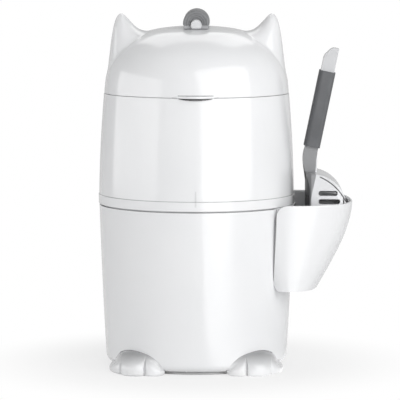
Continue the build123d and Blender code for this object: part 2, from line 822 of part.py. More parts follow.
with BuildPart() as cassette_cap:
    add(
        ring_section(
            (cap_nose, cassette_top_z),
            (cassette_radius + cap_overhang, cassette_top_z),
            (cassette_radius + cap_overhang, cap_top_z),
            (cap_nose + cap_thick / 2, cap_top_z),
            (cap_nose, cassette_top_z + cap_thick / 2),
        )
    )
    revolve(axis=Axis.Z)
    # pairs of dogs that take the spider's lugs
    with PolarLocations(dog_radius, lug_count, start_angle=lug_start):
        with Locations((0, 0, cap_top_z)):
            with GridLocations(0, lug_width + 2 * lug_play + dog_thick, 1, 2):
                Box(dog_length, dog_thick, dog_height, align=LOW)
cassette_cap.part.label = "cassette_cap"
export_step(cassette_cap.part, "parts/cassette_cap.step")

with BuildPart() as film_pack:
    add(
        ring_section(
            (cassette_bore + cassette_wall + film_gap, cassette_low_z + cassette_wall),
            (cassette_radius - cassette_wall - film_gap, cassette_low_z + cassette_wall),
            (cassette_radius - cassette_wall - film_gap, cassette_low_z + cassette_wall + film_height),
            (cassette_bore + cassette_wall + film_gap, cassette_low_z + cassette_wall + film_height),
        )
    )
    revolve(axis=Axis.Z)
film_pack.part.label = "film_pack"
export_step(film_pack.part, "parts/film_pack.step")

# film drawn down the bore and throat, twisted shut below
with BuildPart() as film_sleeve:
    add(
        ring_section(
            (sleeve_top_radius, sleeve_top_z),
            (sleeve_top_radius, seat_floor_z),
            (sleeve_low_radius, sleeve_floor_z),
            (twist_radius, throat_low_z),
            (twist_radius, twist_low_z),
            (0, twist_low_z),
            (0, throat_low_z + sleeve_wall),
            (twist_radius - sleeve_wall, throat_low_z + 2 * sleeve_wall),
            (sleeve_low_radius - sleeve_wall, sleeve_floor_z + sleeve_wall),
            (sleeve_top_radius - sleeve_wall, seat_floor_z),
            (sleeve_top_radius - sleeve_wall, sleeve_top_z),
        )
    )
    revolve(axis=Axis.Z)
film_sleeve.part.label = "film_sleeve"
export_step(film_sleeve.part, "parts/film_sleeve.step")

# ---- lid: dome, ears, front tab and rear knuckle ----
with BuildPart() as lid_shell:
    revolve(dome_outline(0), axis=Axis.Z)
    for side in (-1, 1):
        for middle, half_x, half_y, height in ear_sections:
            with BuildSketch(Plane.XY.offset(height)):
                with Locations((side * middle, 0)):
                    Ellipse(half_x, half_y)
        loft()
    # finger tab: a lip whose underside runs back into the wall
    with Locations((0, tab_radius - tab_reach, tab_top_z)):
        Cylinder(tab_radius, tab_lip, align=HIGH)
    with Locations((0, tab_radius - tab_reach, tab_top_z - tab_lip)):
        Cone(tab_radius - tab_foot, tab_radius, tab_top_z - tab_lip - tab_low_z, align=HIGH)
    # centre knuckle of the lid's hinge
    with Locations(across(lid_hinge_y, lid_hinge_z)):
        Cylinder(knuckle_radius, middle_knuckle)
    with BuildSketch(Plane.YZ.offset(-middle_knuckle / 2)):
        with BuildLine():
            Polyline(
                (0, lid_rim_z),
                (lid_hinge_y, lid_rim_z),
                (lid_hinge_y, lid_hinge_z),
                (lid_hinge_y + knuckle_radius, lid_hinge_z),
                (lid_hinge_y + knuckle_radius / 2, lid_rim_z + web_top),
                (lid_hinge_y - knuckle_radius, lid_rim_z + knuckle_radius),
                (0, lid_rim_z + knuckle_radius),
                close=True,
            )
        make_face()
    extrude(amount=middle_knuckle)
    with Locations(across(lid_hinge_y, lid_hinge_z)):
        Cylinder(hinge_pin_radius + pin_clearance, middle_knuckle, mode=Mode.SUBTRACT)
    # inside of the dome, then what the tab and knuckle leave below the rim
    revolve(dome_outline(shell_wall), axis=Axis.Z, mode=Mode.SUBTRACT)
    with Locations((0, 0, lid_rim_z)):
        Cylinder(head_top_radius + tab_play, lid_rim_z - tab_low_z + 1, align=HIGH, mode=Mode.SUBTRACT)
    for side in (-1, 1):
        for middle, half_x, half_y, height in ear_sections[:-1]:
            with BuildSketch(Plane.XY.offset(height - ear_wall)):
                with Locations((side * middle, 0)):
                    Ellipse(half_x - ear_wall, half_y - ear_wall)
        loft(mode=Mode.SUBTRACT)
    # screw bosses for the liner and the boss round the spindle bush
    with BuildSketch(Plane.XY.offset(liner_z + liner_thick)):
        with PolarLocations(liner_screw_circle, liner_screw_count, start_angle=screw_start):
            Circle(boss_radius)
    extrude(until=Until.NEXT)
    with BuildSketch(Plane.XY.offset(bush_low_z)):
        Circle(bush_flange_radius)
    extrude(until=Until.NEXT)
    with PolarLocations(liner_screw_circle, liner_screw_count, start_angle=screw_start):
        with Locations((0, 0, liner_z + liner_thick)):
            Cylinder(liner_screw_radius, liner_screw_depth, align=LOW, mode=Mode.SUBTRACT)
    with Locations((0, 0, bush_low_z)):
        Cylinder(bush_radius, lid_crown_z, align=LOW, mode=Mode.SUBTRACT)
lid_shell.part.label = "lid_shell"
export_step(lid_shell.part, "parts/lid_shell.step")

# ---- lid liner with its skirt, seal and screws ----
with BuildPart() as lid_liner:
    add(
        ring_section(
            (spindle_radius + liner_hole_play, liner_z),
            (liner_radius - liner_skirt_wall, liner_z),
            (liner_radius - liner_skirt_wall, liner_skirt_z),
            (liner_radius, liner_skirt_z),
            (liner_radius, liner_z + liner_thick),
            (spindle_radius + liner_hole_play, liner_z + liner_thick),
        )
    )
    revolve(axis=Axis.Z)
    with PolarLocations(liner_screw_circle, liner_screw_count, start_angle=screw_start):
        with Locations((0, 0, liner_z)):
            Cylinder(liner_screw_radius + screw_play, liner_thick, align=LOW, mode=Mode.SUBTRACT)
lid_liner.part.label = "lid_liner"
export_step(lid_liner.part, "parts/lid_liner.step")

with BuildPart() as liner_screws:
    with PolarLocations(liner_screw_circle, liner_screw_count, start_angle=screw_start):
        with Locations((0, 0, liner_z)):
            Cylinder(liner_screw_radius, liner_thick + liner_screw_depth - 1, align=LOW)
            Cylinder(2 * liner_screw_radius, liner_screw_radius, align=HIGH)
liner_screws.part.label = "liner_screws"
export_step(liner_screws.part, "parts/liner_screws.step")

with BuildPart() as lid_seal:
    with BuildSketch(Plane.XZ):
        with BuildLine():
            Polyline(
                (seal_radius - seal_width, liner_skirt_z),
                (seal_radius, liner_skirt_z),
                (seal_radius, seal_low_z + seal_bead),
            )
            ThreePointArc(
                (seal_radius, seal_low_z + seal_bead),
                (seal_radius - seal_width / 2, seal_low_z),
                (seal_radius - seal_width, seal_low_z + seal_bead),
            )
            Line(
                (seal_radius - seal_width, seal_low_z + seal_bead),
                (seal_radius - seal_width, liner_skirt_z),
            )
        make_face()
    revolve(axis=Axis.Z)
lid_seal.part.label = "lid_seal"
export_step(lid_seal.part, "parts/lid_seal.step")

# ---- bush, spindle and the spider below ----
with BuildPart() as spindle_bush:
    with Locations((0, 0, bush_low_z)):
        Cylinder(bush_radius, lid_crown_z - bush_low_z, align=LOW)
        Cylinder(bush_flange_radius, bush_flange, align=HIGH)
    with Locations((0, 0, bush_low_z)):
        Cylinder(spindle_radius + pin_clearance, 2 * (lid_crown_z - bush_low_z), mode=Mode.SUBTRACT)
spindle_bush.part.label = "spindle_bush"
export_step(spindle_bush.part, "parts/spindle_bush.step")

with BuildPart() as spindle:
    with Locations((0, 0, spindle_low_z)):
        Cylinder(spindle_radius, spindle_top_z - spindle_low_z, align=LOW)
        Cylinder(end_screw_radius, end_screw_length, align=LOW, mode=Mode.SUBTRACT)
    with Locations(across(0, knob_pin_z)):
        Cylinder(knob_pin_radius, knob_pin_length, mode=Mode.SUBTRACT)
spindle.part.label = "spindle"
export_step(spindle.part, "parts/spindle.step")

with BuildPart() as drive_spider:
    with Locations((0, 0, spindle_low_z)):
        Cylinder(spider_hub_radius, spider_hub_height, align=LOW)
    with BuildSketch(Plane.XY.offset(spider_z)):
        with PolarLocations(0, lug_count, start_angle=lug_start):
            Rectangle(dog_radius + lug_length / 2, spider_arm, align=(Align.MIN, Align.CENTER))
    extrude(amount=spider_thick)
    with PolarLocations(dog_radius, lug_count, start_angle=lug_start):
        with Locations((0, 0, spider_z)):
            Box(lug_length, lug_width, spider_z - lug_low_z, align=HIGH)
    with Locations((0, 0, spindle_low_z)):
        Cylinder(spindle_radius, spider_hub_height, align=LOW, mode=Mode.SUBTRACT)
drive_spider.part.label = "drive_spider"
export_step(drive_spider.part, "parts/drive_spider.step")

with BuildPart() as end_screw:
    with Locations((0, 0, spindle_low_z)):
        Cylinder(end_screw_radius, end_screw_length - 1, align=LOW)
        Cylinder(end_screw_head, end_screw_radius, align=HIGH)
end_screw.part.label = "end_screw"
export_step(end_screw.part, "parts/end_screw.step")

# ---- turning knob: hard core with boss ends, soft grip over it ----
with BuildPart() as crown_space:
    with BuildSketch(Plane.XZ):
        with BuildLine():
            ThreePointArc(
                (0, lid_crown_z + knob_gap),
                (core_length / 4, crown_height(core_length / 4, knob_gap)),
                (core_length, crown_height(core_length, knob_gap)),
            )
            Polyline(
                (core_length, crown_height(core_length, knob_gap)),
                (core_length, 0),
                (0, 0),
                (0, lid_crown_z + knob_gap),
            )
        make_face()
    revolve(axis=Axis.Z)

with BuildPart() as knob_core:
    with BuildSketch(Plane.XZ):
        with Locations((0, core_z)):
            Circle(core_radius)
        with Locations((0, core_z)):
            Rectangle(core_foot, core_skirt, align=(Align.CENTER, Align.MAX))
    extrude(amount=core_length / 2, both=True)
    chamfer(edges().filter_by(GeomType.CIRCLE), core_bevel)
    with Locations((0, 0, core_hub_top_z)):
        Cylinder(core_hub_radius, core_skirt, align=HIGH)
    add(crown_space.part, mode=Mode.SUBTRACT)
    with Locations((0, 0, spindle_top_z)):
        Cylinder(spindle_radius, spindle_top_z, align=HIGH, mode=Mode.SUBTRACT)
    with Locations(across(0, knob_pin_z)):
        Cylinder(knob_pin_radius, knob_pin_length, mode=Mode.SUBTRACT)
knob_core.part.label = "knob_core"
export_step(knob_core.part, "parts/knob_core.step")

with BuildPart() as knob_pin:
    with Locations(across(0, knob_pin_z)):
        Cylinder(knob_pin_radius, knob_pin_length)
knob_pin.part.label = "knob_pin"
export_step(knob_pin.part, "parts/knob_pin.step")

with BuildPart() as knob_grip:
    with BuildSketch(Plane.XZ):
        with Locations((0, grip_z)):
            Circle(grip_radius)
    extrude(amount=grip_length / 2, both=True)
    fillet(edges().filter_by(GeomType.CIRCLE), grip_edge)
    add(crown_space.part, mode=Mode.SUBTRACT)
    with BuildSketch(Plane.XZ):
        with Locations((0, core_z)):
            Circle(core_radius)
        with Locations((0, core_z)):
            Rectangle(core_foot, core_skirt, align=(Align.CENTER, Align.MAX))
    extrude(amount=core_length / 2, both=True, mode=Mode.SUBTRACT)
    with Locations((0, 0, core_hub_top_z)):
        Cylinder(core_hub_radius, core_skirt, align=HIGH, mode=Mode.SUBTRACT)
    # rings sunk into both ends
    for end in (-1, 1):
        for ring in grip_grooves:
            with BuildSketch(Plane.XZ.offset(end * grip_length / 2)):
                with Locations((0, grip_z)):
                    Circle(ring + grip_groove_width)
                    Circle(ring, mode=Mode.SUBTRACT)
            extrude(amount=-end * grip_groove_depth, mode=Mode.SUBTRACT)
knob_grip.part.label = "knob_grip"
export_step(knob_grip.part, "parts/knob_grip.step")

# ---- scoop holder: pocket lofted outwards from the bucket, hook strap ----
def room_within(gap):
    """Everything nearer the axis than the bucket's side grown by gap."""
    with BuildPart() as room:
        revolve(bucket_outline(-gap), axis=Axis.Z)
        with Locations((0, 0, bucket_rim_z)):
            Cylinder(bucket_rim_radius + gap, bucket_rim_z, align=LOW)
        with Locations((0, 0, hook_top_z)):
            Cylinder(max(bucket_rim_radius + gap, band_radius + body_gap), bucket_rim_z, align=LOW)
    return room.part


def pocket_form(inset):
    """Tapering pocket, a stack of rounded plans lofted between heights."""
    with BuildPart() as form:
        for height, reach in zip(holder_heights, holder_reaches):
            share = (holder_rim_z - height) / (holder_rim_z - holder_low_z)
            width = 2 * (holder_half_width - holder_narrowing * share - inset)
            with BuildSketch(Plane.XY.offset(height)):
                with Locations((reach - inset, 0)):
                    RectangleRounded(
                        2 * holder_corner + pocket_root,
                        width,
                        holder_corner - inset,
                        align=(Align.MAX, Align.CENTER),
                    )
        loft()
    return form.part


def pocket_face(inset, shoulders):
    """Front outline of the pocket, rounded where it meets the bucket."""
    top = holder_rim_z if shoulders else 2 * holder_rim_z
    with BuildSketch(Plane.XZ.offset(-2 * holder_half_width)) as face:
        with BuildLine():
            Polyline(
                (holder_edge_top_x + inset, top),
                (2 * bucket_rim_radius, top),
                (2 * bucket_rim_radius, holder_low_z + inset),
                (holder_edge_low_x + inset, holder_low_z + inset),
                close=True,
            )
        make_face()
        left = face.vertices().sort_by(Axis.X)[:2].sort_by(Axis.Z)
        fillet(left if shoulders else left[:1], holder_shoulder - inset)
    return face.sketch


with BuildPart() as hook_strap:
    add(
        ring_section(
            (hook_inner_radius - strap_thick, hook_top_z),
            (hook_outer_radius + strap_thick, hook_top_z),
            (hook_outer_radius + strap_thick, strap_low_z),
            (hook_outer_radius, strap_low_z),
            (hook_outer_radius, bucket_rim_z),
            (hook_inner_radius, bucket_rim_z),
            (hook_inner_radius, bucket_rim_z - hook_drop),
            (hook_inner_radius - strap_thick, bucket_rim_z - hook_drop),
        )
    )
    revolve(axis=Axis.Z)
    with BuildSketch(Plane.XY):
        with BuildLine():
            Polyline(
                (0, 0),
                (strap_reach, -strap_reach * tan(radians(strap_angle))),
                (strap_reach, strap_reach * tan(radians(strap_angle))),
                close=True,
            )
        make_face()
    extrude(amount=2 * bucket_rim_z, mode=Mode.INTERSECT)

with BuildPart() as pocket_room:
    add(pocket_form(holder_wall))
    add(room_within(holder_gap + holder_wall), mode=Mode.SUBTRACT)
    extrude(
        pocket_face(holder_wall, False),
        amount=4 * holder_half_width,
        dir=(0, -1, 0),
        mode=Mode.INTERSECT,
    )

with BuildPart() as scoop_holder:
    add(pocket_form(0))
    add(room_within(holder_gap), mode=Mode.SUBTRACT)
    extrude(pocket_face(0, True), amount=4 * holder_half_width, dir=(0, -1, 0), mode=Mode.INTERSECT)
    add(hook_strap.part)
    add(pocket_room.part, mode=Mode.SUBTRACT)
scoop_holder.part.label = "scoop_holder"
export_step(scoop_holder.part, "parts/scoop_holder.step")

# ---- grey liner cup that drops into the holder ----
with BuildPart() as liner_room:
    add(pocket_form(holder_wall + liner_play + liner_wall))
    add(room_within(holder_gap + holder_wall + liner_play + liner_wall), mode=Mode.SUBTRACT)
    extrude(
        pocket_face(holder_wall + liner_play + liner_wall, False),
        amount=4 * holder_half_width,
        dir=(0, -1, 0),
        mode=Mode.INTERSECT,
    )

with BuildPart() as holder_liner:
    add(pocket_form(holder_wall + liner_play))
    add(room_within(holder_gap + holder_wall + liner_play), mode=Mode.SUBTRACT)
    extrude(
        pocket_face(holder_wall + liner_play, False),
        amount=4 * holder_half_width,
        dir=(0, -1, 0),
        mode=Mode.INTERSECT,
    )
    with Locations((0, 0, holder_rim_z - liner_drop)):
        Cylinder(2 * bucket_rim_radius, holder_rim_z, align=LOW, mode=Mode.SUBTRACT)
    add(liner_room.part, mode=Mode.SUBTRACT)
holder_liner.part.label = "holder_liner"
export_step(holder_liner.part, "parts/holder_liner.step")

# ---- scoop: bowed floor, slotted walls, neck and tang ----
handle_plane = Plane(
    origin=(handle_x, 0, handle_z),
    x_dir=(cos(radians(handle_lean)), 0, -sin(radians(handle_lean))),
    z_dir=(0, -1, 0),
)


def blade_plan(inset, reach):
    """Plan of the blade: bowed floor towards the pail, walls out to reach."""
    half = blade_half_width - inset
    floor_x = blade_floor_x + inset
    with BuildSketch(Plane.XY.offset(blade_tip_z - inset)) as plan:
        with BuildLine():
            ThreePointArc((floor_x, -half), (floor_x - blade_bow, 0), (floor_x, half))
            Polyline((floor_x, half), (reach, half), (reach, -half), (floor_x, -half))
        make_face()
        fillet(plan.vertices().group_by(Axis.X)[-1], blade_corner - inset)
    return plan.sketch


def blade_side(inset):
    """Side outline of the blade: rim rising from the tip, rounded heel."""
    with BuildSketch(Plane.XZ.offset(-2 * blade_half_width)) as side:
        with BuildLine():
            Spline(*blade_rim, tangents=((0.6, 1), (0.15, 1)))
            ThreePointArc(
                blade_rim[-1],
                (blade_heel_x - inset, blade_heel_z - inset),
                (handle_x, blade_top_z - inset),
            )
            Polyline(
                (handle_x, blade_top_z - inset),
                (blade_floor_x - 2 * blade_bow, blade_top_z - inset),
                (blade_floor_x - 2 * blade_bow, blade_tip_z),
                blade_rim[0],
            )
        make_face()
    return side.sketch


with BuildPart() as blade_hollow:
    extrude(blade_plan(blade_wall, 2 * holder_reaches[-1]), amount=blade_top_z, dir=(0, 0, 1))
    with BuildSketch(Plane.XZ):
        with BuildLine():
            ThreePointArc(
                (blade_rim[-1][0] - blade_wall, blade_rim[-1][1]),
                (blade_heel_x - 0.7 * blade_wall, blade_heel_z - 0.7 * blade_wall),
                (handle_x, blade_top_z - blade_wall),
            )
            Polyline(
                (handle_x, blade_top_z - blade_wall),
                (0, blade_top_z - blade_wall),
                (0, 0),
                (2 * holder_reaches[-1], 0),
                (2 * holder_reaches[-1], blade_rim[-1][1]),
                (blade_rim[-1][0] - blade_wall, blade_rim[-1][1]),
            )
        make_face()
    extrude(amount=2 * blade_half_width, both=True, mode=Mode.INTERSECT)

with BuildPart() as scoop:
    extrude(blade_plan(0, holder_reaches[-1] - blade_back), amount=blade_top_z, dir=(0, 0, 1))
    extrude(blade_side(0), amount=4 * blade_half_width, dir=(0, -1, 0), mode=Mode.INTERSECT)
    with BuildSketch(Plane.YZ):
        with Locations((0, blade_tip_z)):
            RectangleRounded(
                2 * blade_half_width,
                2 * blade_top_z,
                blade_tip_corner,
                align=(Align.CENTER, Align.MIN),
            )
    extrude(amount=2 * holder_reaches[-1], mode=Mode.INTERSECT)
    add(blade_hollow.part, mode=Mode.SUBTRACT)
    # slots through the floor
    with Locations((blade_floor_x, 0, floor_slot_z)):
        with GridLocations(0, floor_slot_pitch, 1, floor_slot_count):
            Box(4 * blade_bow, floor_slot_width, floor_slot_length, align=LOW, mode=Mode.SUBTRACT)
    # slots through both side walls
    for height, reach in side_slots:
        with BuildSketch(Plane.XZ):
            with Locations(((side_slot_x + reach) / 2, height)):
                SlotOverall(reach - side_slot_x, side_slot_height)
        extrude(amount=2 * blade_half_width, both=True, mode=Mode.SUBTRACT)
    # neck from the floor up to the tang
    with BuildSketch(Plane.XZ):
        with BuildLine():
            Spline(*neck_back_line)
            Polyline(neck_back_line[-1], *neck_face_line, neck_back_line[0])
        make_face()
    extrude(amount=tang_width / 2, both=True)
    # tang inside the sleeve with its rounded tip
    with BuildSketch(handle_plane):
        with BuildLine():
            Polyline(
                (-tang_thick / 2, sleeve_length + tip_shoulder),
                (-tang_thick / 2, -tang_root),
                (tang_thick / 2, -tang_root),
                (tang_thick / 2, sleeve_length + tip_length),
                (tang_thick / 2 - tip_flat, sleeve_length + tip_length),
            )
            Spline(
                (tang_thick / 2 - tip_flat, sleeve_length + tip_length),
                (-tang_thick / 4, sleeve_length + 0.8 * tip_length),
                (-tang_thick / 2, sleeve_length + tip_shoulder),
                tangents=((-1, 0), (0, -1)),
            )
        make_face()
    extrude(amount=tang_width / 2, both=True)
scoop.part.label = "scoop"
export_step(scoop.part, "parts/scoop.step")

with BuildPart() as scoop_grip:
    with BuildSketch(Plane(origin=handle_plane.origin, x_dir=handle_plane.x_dir, z_dir=handle_plane.y_dir)):
        RectangleRounded(sleeve_thick, sleeve_width, sleeve_corner)
        Rectangle(tang_thick, tang_width, mode=Mode.SUBTRACT)
    extrude(amount=sleeve_length)
scoop_grip.part.label = "scoop_grip"
export_step(scoop_grip.part, "parts/scoop_grip.step")
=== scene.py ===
import json
import math

import bmesh
import bpy
import numpy as np
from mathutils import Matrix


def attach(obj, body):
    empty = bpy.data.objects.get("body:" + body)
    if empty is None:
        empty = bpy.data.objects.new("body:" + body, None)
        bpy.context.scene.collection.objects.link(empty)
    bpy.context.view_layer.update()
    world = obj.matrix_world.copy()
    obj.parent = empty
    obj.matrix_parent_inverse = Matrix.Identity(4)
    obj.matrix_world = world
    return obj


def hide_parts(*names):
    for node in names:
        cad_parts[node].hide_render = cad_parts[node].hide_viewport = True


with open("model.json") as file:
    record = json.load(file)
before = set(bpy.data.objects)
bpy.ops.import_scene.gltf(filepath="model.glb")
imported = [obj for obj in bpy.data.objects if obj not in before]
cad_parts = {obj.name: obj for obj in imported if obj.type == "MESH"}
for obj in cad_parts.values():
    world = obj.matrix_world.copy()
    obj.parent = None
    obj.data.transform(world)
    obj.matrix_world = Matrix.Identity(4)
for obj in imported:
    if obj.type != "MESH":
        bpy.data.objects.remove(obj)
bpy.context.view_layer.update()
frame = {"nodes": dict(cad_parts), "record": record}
scene = bpy.context.scene
print("frame loaded:", len(frame["nodes"]), "nodes")


class Wire:  # one output socket of a shader node; sums on it add Math nodes
    def __init__(self, tree, socket):
        self.tree = tree
        self.socket = socket

    def math(self, operation, *terms):
        node = self.tree.nodes.new("ShaderNodeMath")
        node.operation = operation
        for slot, term in zip(node.inputs, terms):
            if isinstance(term, Wire):
                self.tree.links.new(term.socket, slot)
            else:
                slot.default_value = term
        return Wire(self.tree, node.outputs[0])

    def __add__(self, other):
        return self.math("ADD", self, other)

    def __radd__(self, other):
        return self.math("ADD", other, self)

    def __sub__(self, other):
        return self.math("SUBTRACT", self, other)

    def __rsub__(self, other):
        return self.math("SUBTRACT", other, self)

    def __mul__(self, other):
        return self.math("MULTIPLY", self, other)

    def __pow__(self, other):
        return self.math("POWER", self, other)

    def abs(self):
        return self.math("ABSOLUTE", self)

    def most(self, other):
        return self.math("MAXIMUM", self, other)

    def ramp(self, low, high):  # 0 below low, 1 above high, smooth between
        node = self.tree.nodes.new("ShaderNodeMapRange")
        node.interpolation_type = "SMOOTHSTEP"
        self.tree.links.new(self.socket, node.inputs["Value"])
        node.inputs["From Min"].default_value = low
        node.inputs["From Max"].default_value = high
        return Wire(self.tree, node.outputs["Result"])


class Finish:  # the node tree of a material or of the world
    def __init__(self, owner):
        self.owner = owner
        owner.use_nodes = True
        self.tree = owner.node_tree
        self.tree.nodes.clear()

    def add(self, kind, settings=None, inputs=None, out=0):
        node = self.tree.nodes.new(kind)
        for key, value in (settings or {}).items():
            setattr(node, key, value)
        for key, value in (inputs or {}).items():
            if isinstance(value, Wire):
                self.tree.links.new(value.socket, node.inputs[key])
            else:
                node.inputs[key].default_value = value
        return Wire(self.tree, node.outputs[out]) if node.outputs else node

    def place(self):
        return self.add("ShaderNodeTexCoord", out="Object")

    def axes(self, vector=None):  # X, Y and Z of the piece's own coordinates, or of the vector
        vector = vector or self.place()
        return [self.add("ShaderNodeSeparateXYZ", inputs={0: vector}, out=axis) for axis in "XYZ"]

    def height(self):
        return self.axes()[2]

    def grain(self, scale, detail=2.0, rough=0.5, vector=None):
        return self.add("ShaderNodeTexNoise", inputs={
            "Vector": vector or self.place(), "Scale": scale, "Detail": detail, "Roughness": rough})

    def stretched(self, scale):
        return self.add("ShaderNodeMapping", inputs={"Vector": self.place(), "Scale": scale})

    def blend(self, share, first, second):
        return self.add("ShaderNodeMix", {"data_type": "RGBA"}, {0: share, 6: first, 7: second}, out=2)

    def bump(self, height, strength, distance):
        inputs = {"Height": height, "Strength": strength, "Distance": distance}
        return self.add("ShaderNodeBump", inputs=inputs)

    def rays(self, kind):
        return self.add("ShaderNodeLightPath", out=kind)

    def surface(self, **sockets):
        named = {key.replace("_", " "): value for key, value in sockets.items()}
        shader = self.add("ShaderNodeBsdfPrincipled", inputs=named)
        self.add("ShaderNodeOutputMaterial", inputs={"Surface": shader})
        return self.owner


def rgba(red, green, blue):
    return (red, green, blue, 1.0)


# white gloss, and what some pieces have besides; heights and widths in metres
whitePlastic = {
    "colour": rgba(0.83, 0.835, 0.845), "shade": rgba(0.79, 0.797, 0.81), "flowGrain": 9.0, "flowShare": 0.5,
    "wipeStretch": (160.0, 160.0, 22.0), "wipeDull": 0.05, "fineGrain": 900.0, "waveGrain": 55.0,
    "waviness": 0.00004, "roughness": 0.17, "soil": rgba(0.66, 0.655, 0.64), "soilTop": 0.016,
    "soilGrain": 60.0, "soilShare": 0.35, "soilDull": 0.25,
}
# these looks add painted shade: the paws' tops, the tab's underside, the holder's edge gap, the band's seam
# and index mark
pawLook = dict(whitePlastic, topShadeHeights=(0.006, 0.030), topShadeColour=rgba(0.29, 0.292, 0.298))
tabLook = dict(whitePlastic, under=(0.3295, 0.32965), underShadeColour=rgba(0.05, 0.05, 0.052))
holderLook = dict(whitePlastic, edge=(0.0919, 0.0953), edgeHeights=(0.0965, 0.199),
                  edgeWidth=(0.0006, 0.0011), edgeShare=0.7, edgeShadeColour=rgba(0.1, 0.1, 0.102))
bandLook = dict(whitePlastic, seam=(0.2082, 0.2088), seamSoft=0.0002, seamShare=0.65,
                seamShadeColour=rgba(0.22, 0.222, 0.226), markWidth=(0.0007, 0.0011), markFront=(-0.01, 0.0),
                markFrom=(0.2015, 0.203), markTo=(0.2195, 0.222), markShare=0.16)


def glossyShell(name, look):
    # moulded gloss: slow flow marks, fine wiping marks in the gloss, a breath of dust near the floor
    f = Finish(bpy.data.materials.new(name))
    x, y, z = f.axes()
    flow = f.grain(look["flowGrain"], 2.0)
    marks = f.grain(1.0, 4.0, 0.62, f.stretched(look["wipeStretch"]))
    fine = f.grain(look["fineGrain"], 1.0)
    wave = f.grain(look["waveGrain"], 1.0)
    dust = (1.0 - z.ramp(0.0, look["soilTop"])) * f.grain(look["soilGrain"], 3.0).ramp(0.42, 0.7)
    colour = f.blend(flow.ramp(0.35, 0.7) * look["flowShare"], look["colour"], look["shade"])
    colour = f.blend(dust * look["soilShare"], colour, look["soil"])
    if "topShadeHeights" in look:  # painted shade: darker the higher it lies, standing in for the bucket's shade over the paws' tops
        colour = f.blend(z.ramp(*look["topShadeHeights"]) * (0.9 + flow * 0.2), colour, look["topShadeColour"])
    if "under" in look:  # painted shade: dark below a height, the shaded underside of the finger tab
        colour = f.blend(1.0 - z.ramp(*look["under"]), colour, look["underShadeColour"])
    if "edge" in look:  # painted shade: dark line along the edge next to the bucket, the shadow in the gap between holder and bucket
        low, high = look["edge"]
        near = x - z.ramp(*look["edgeHeights"]) * (high - low) - low
        line = 1.0 - near.ramp(*look["edgeWidth"])
        colour = f.blend(line * look["edgeShare"], colour, look["edgeShadeColour"])
    if "seam" in look:  # painted shade: a thin level line for the shade in the seam between parts, and an upright index mark at the front darkened like the shade in an engraved groove
        low, high = look["seam"]
        line = z.ramp(low - look["seamSoft"], low) * (1.0 - z.ramp(high, high + look["seamSoft"]))
        mark = (1.0 - x.abs().ramp(*look["markWidth"])) * (1.0 - y.ramp(*look["markFront"]))
        mark = mark * z.ramp(*look["markFrom"]) * (1.0 - z.ramp(*look["markTo"]))
        colour = f.blend(line * look["seamShare"], colour, look["seamShadeColour"])
        colour = f.blend(mark * look["markShare"], colour, look["seamShadeColour"])
    gloss = look["roughness"] + marks.ramp(0.5, 0.8) * look["wipeDull"] + dust * look["soilDull"]
    relief = f.bump(wave * 0.8 + fine * 0.05, 0.5, look["waviness"])
    return f.surface(Base_Color=colour, Roughness=gloss, Normal=relief, Specular_IOR_Level=0.5,
                     Coat_Weight=0.25, Coat_Roughness=0.04)


satin = {"grain": 1500.0, "grainDepth": 0.00006, "grainDull": 0.12, "drift": 14.0, "driftShare": 0.6,
         "driftDull": 0.04}


def satinPlastic(name, colour, shade, roughness):
    # spark-eroded satin: fine even grain, faint tone drift
    f = Finish(bpy.data.materials.new(name))
    grain = f.grain(satin["grain"], 2.0)
    drift = f.grain(satin["drift"], 2.0)
    tone = f.blend(drift.ramp(0.35, 0.7) * satin["driftShare"], colour, shade)
    gloss = roughness + (grain - 0.5) * satin["grainDull"] + drift.ramp(0.5, 0.8) * satin["driftDull"]
    return f.surface(Base_Color=tone, Roughness=gloss, Normal=f.bump(grain, 0.35, satin["grainDepth"]))


overmould = {"pores": 1300.0, "poreDepth": 0.00005, "rub": 38.0, "rubShare": 0.55, "rubGloss": 0.14,
             "roughness": 0.62}


def softGrip(name, colour, shade):
    # rubbery overmould: matt, dusty in its pores, a little shinier where a hand rubs it
    f = Finish(bpy.data.materials.new(name))
    cells = {"Vector": f.place(), "Scale": overmould["pores"]}
    pores = f.add("ShaderNodeTexVoronoi", {"feature": "F1"}, cells)
    rub = f.grain(overmould["rub"], 3.0).ramp(0.4, 0.68)
    tone = f.blend(rub * overmould["rubShare"], colour, shade)
    return f.surface(Base_Color=tone, Roughness=overmould["roughness"] - rub * overmould["rubGloss"],
                     Normal=f.bump(pores, 0.4, overmould["poreDepth"]), Specular_IOR_Level=0.4)


drawn = {"colour": rgba(0.56, 0.56, 0.57), "shade": rgba(0.66, 0.66, 0.66), "stretch": (260.0, 260.0, 3000.0),
         "roughness": 0.24, "lineDull": 0.14, "lineDepth": 0.00002}


def plainSteel(name):
    # drawn steel: fine marks round the shank
    f = Finish(bpy.data.materials.new(name))
    lines = f.grain(1.0, 3.0, 0.6, f.stretched(drawn["stretch"]))
    tone = f.blend(lines, drawn["colour"], drawn["shade"])
    return f.surface(Base_Color=tone, Metallic=1.0, Roughness=drawn["roughness"] + lines * drawn["lineDull"],
                     Normal=f.bump(lines, 0.2, drawn["lineDepth"]))


rubber = {"bloom": 70.0, "bloomShare": 0.6, "bloomDull": 0.14, "roughness": 0.66, "fine": 1100.0,
          "fineDepth": 0.00005, "paleLitTop": (0.0022, 0.0032)}


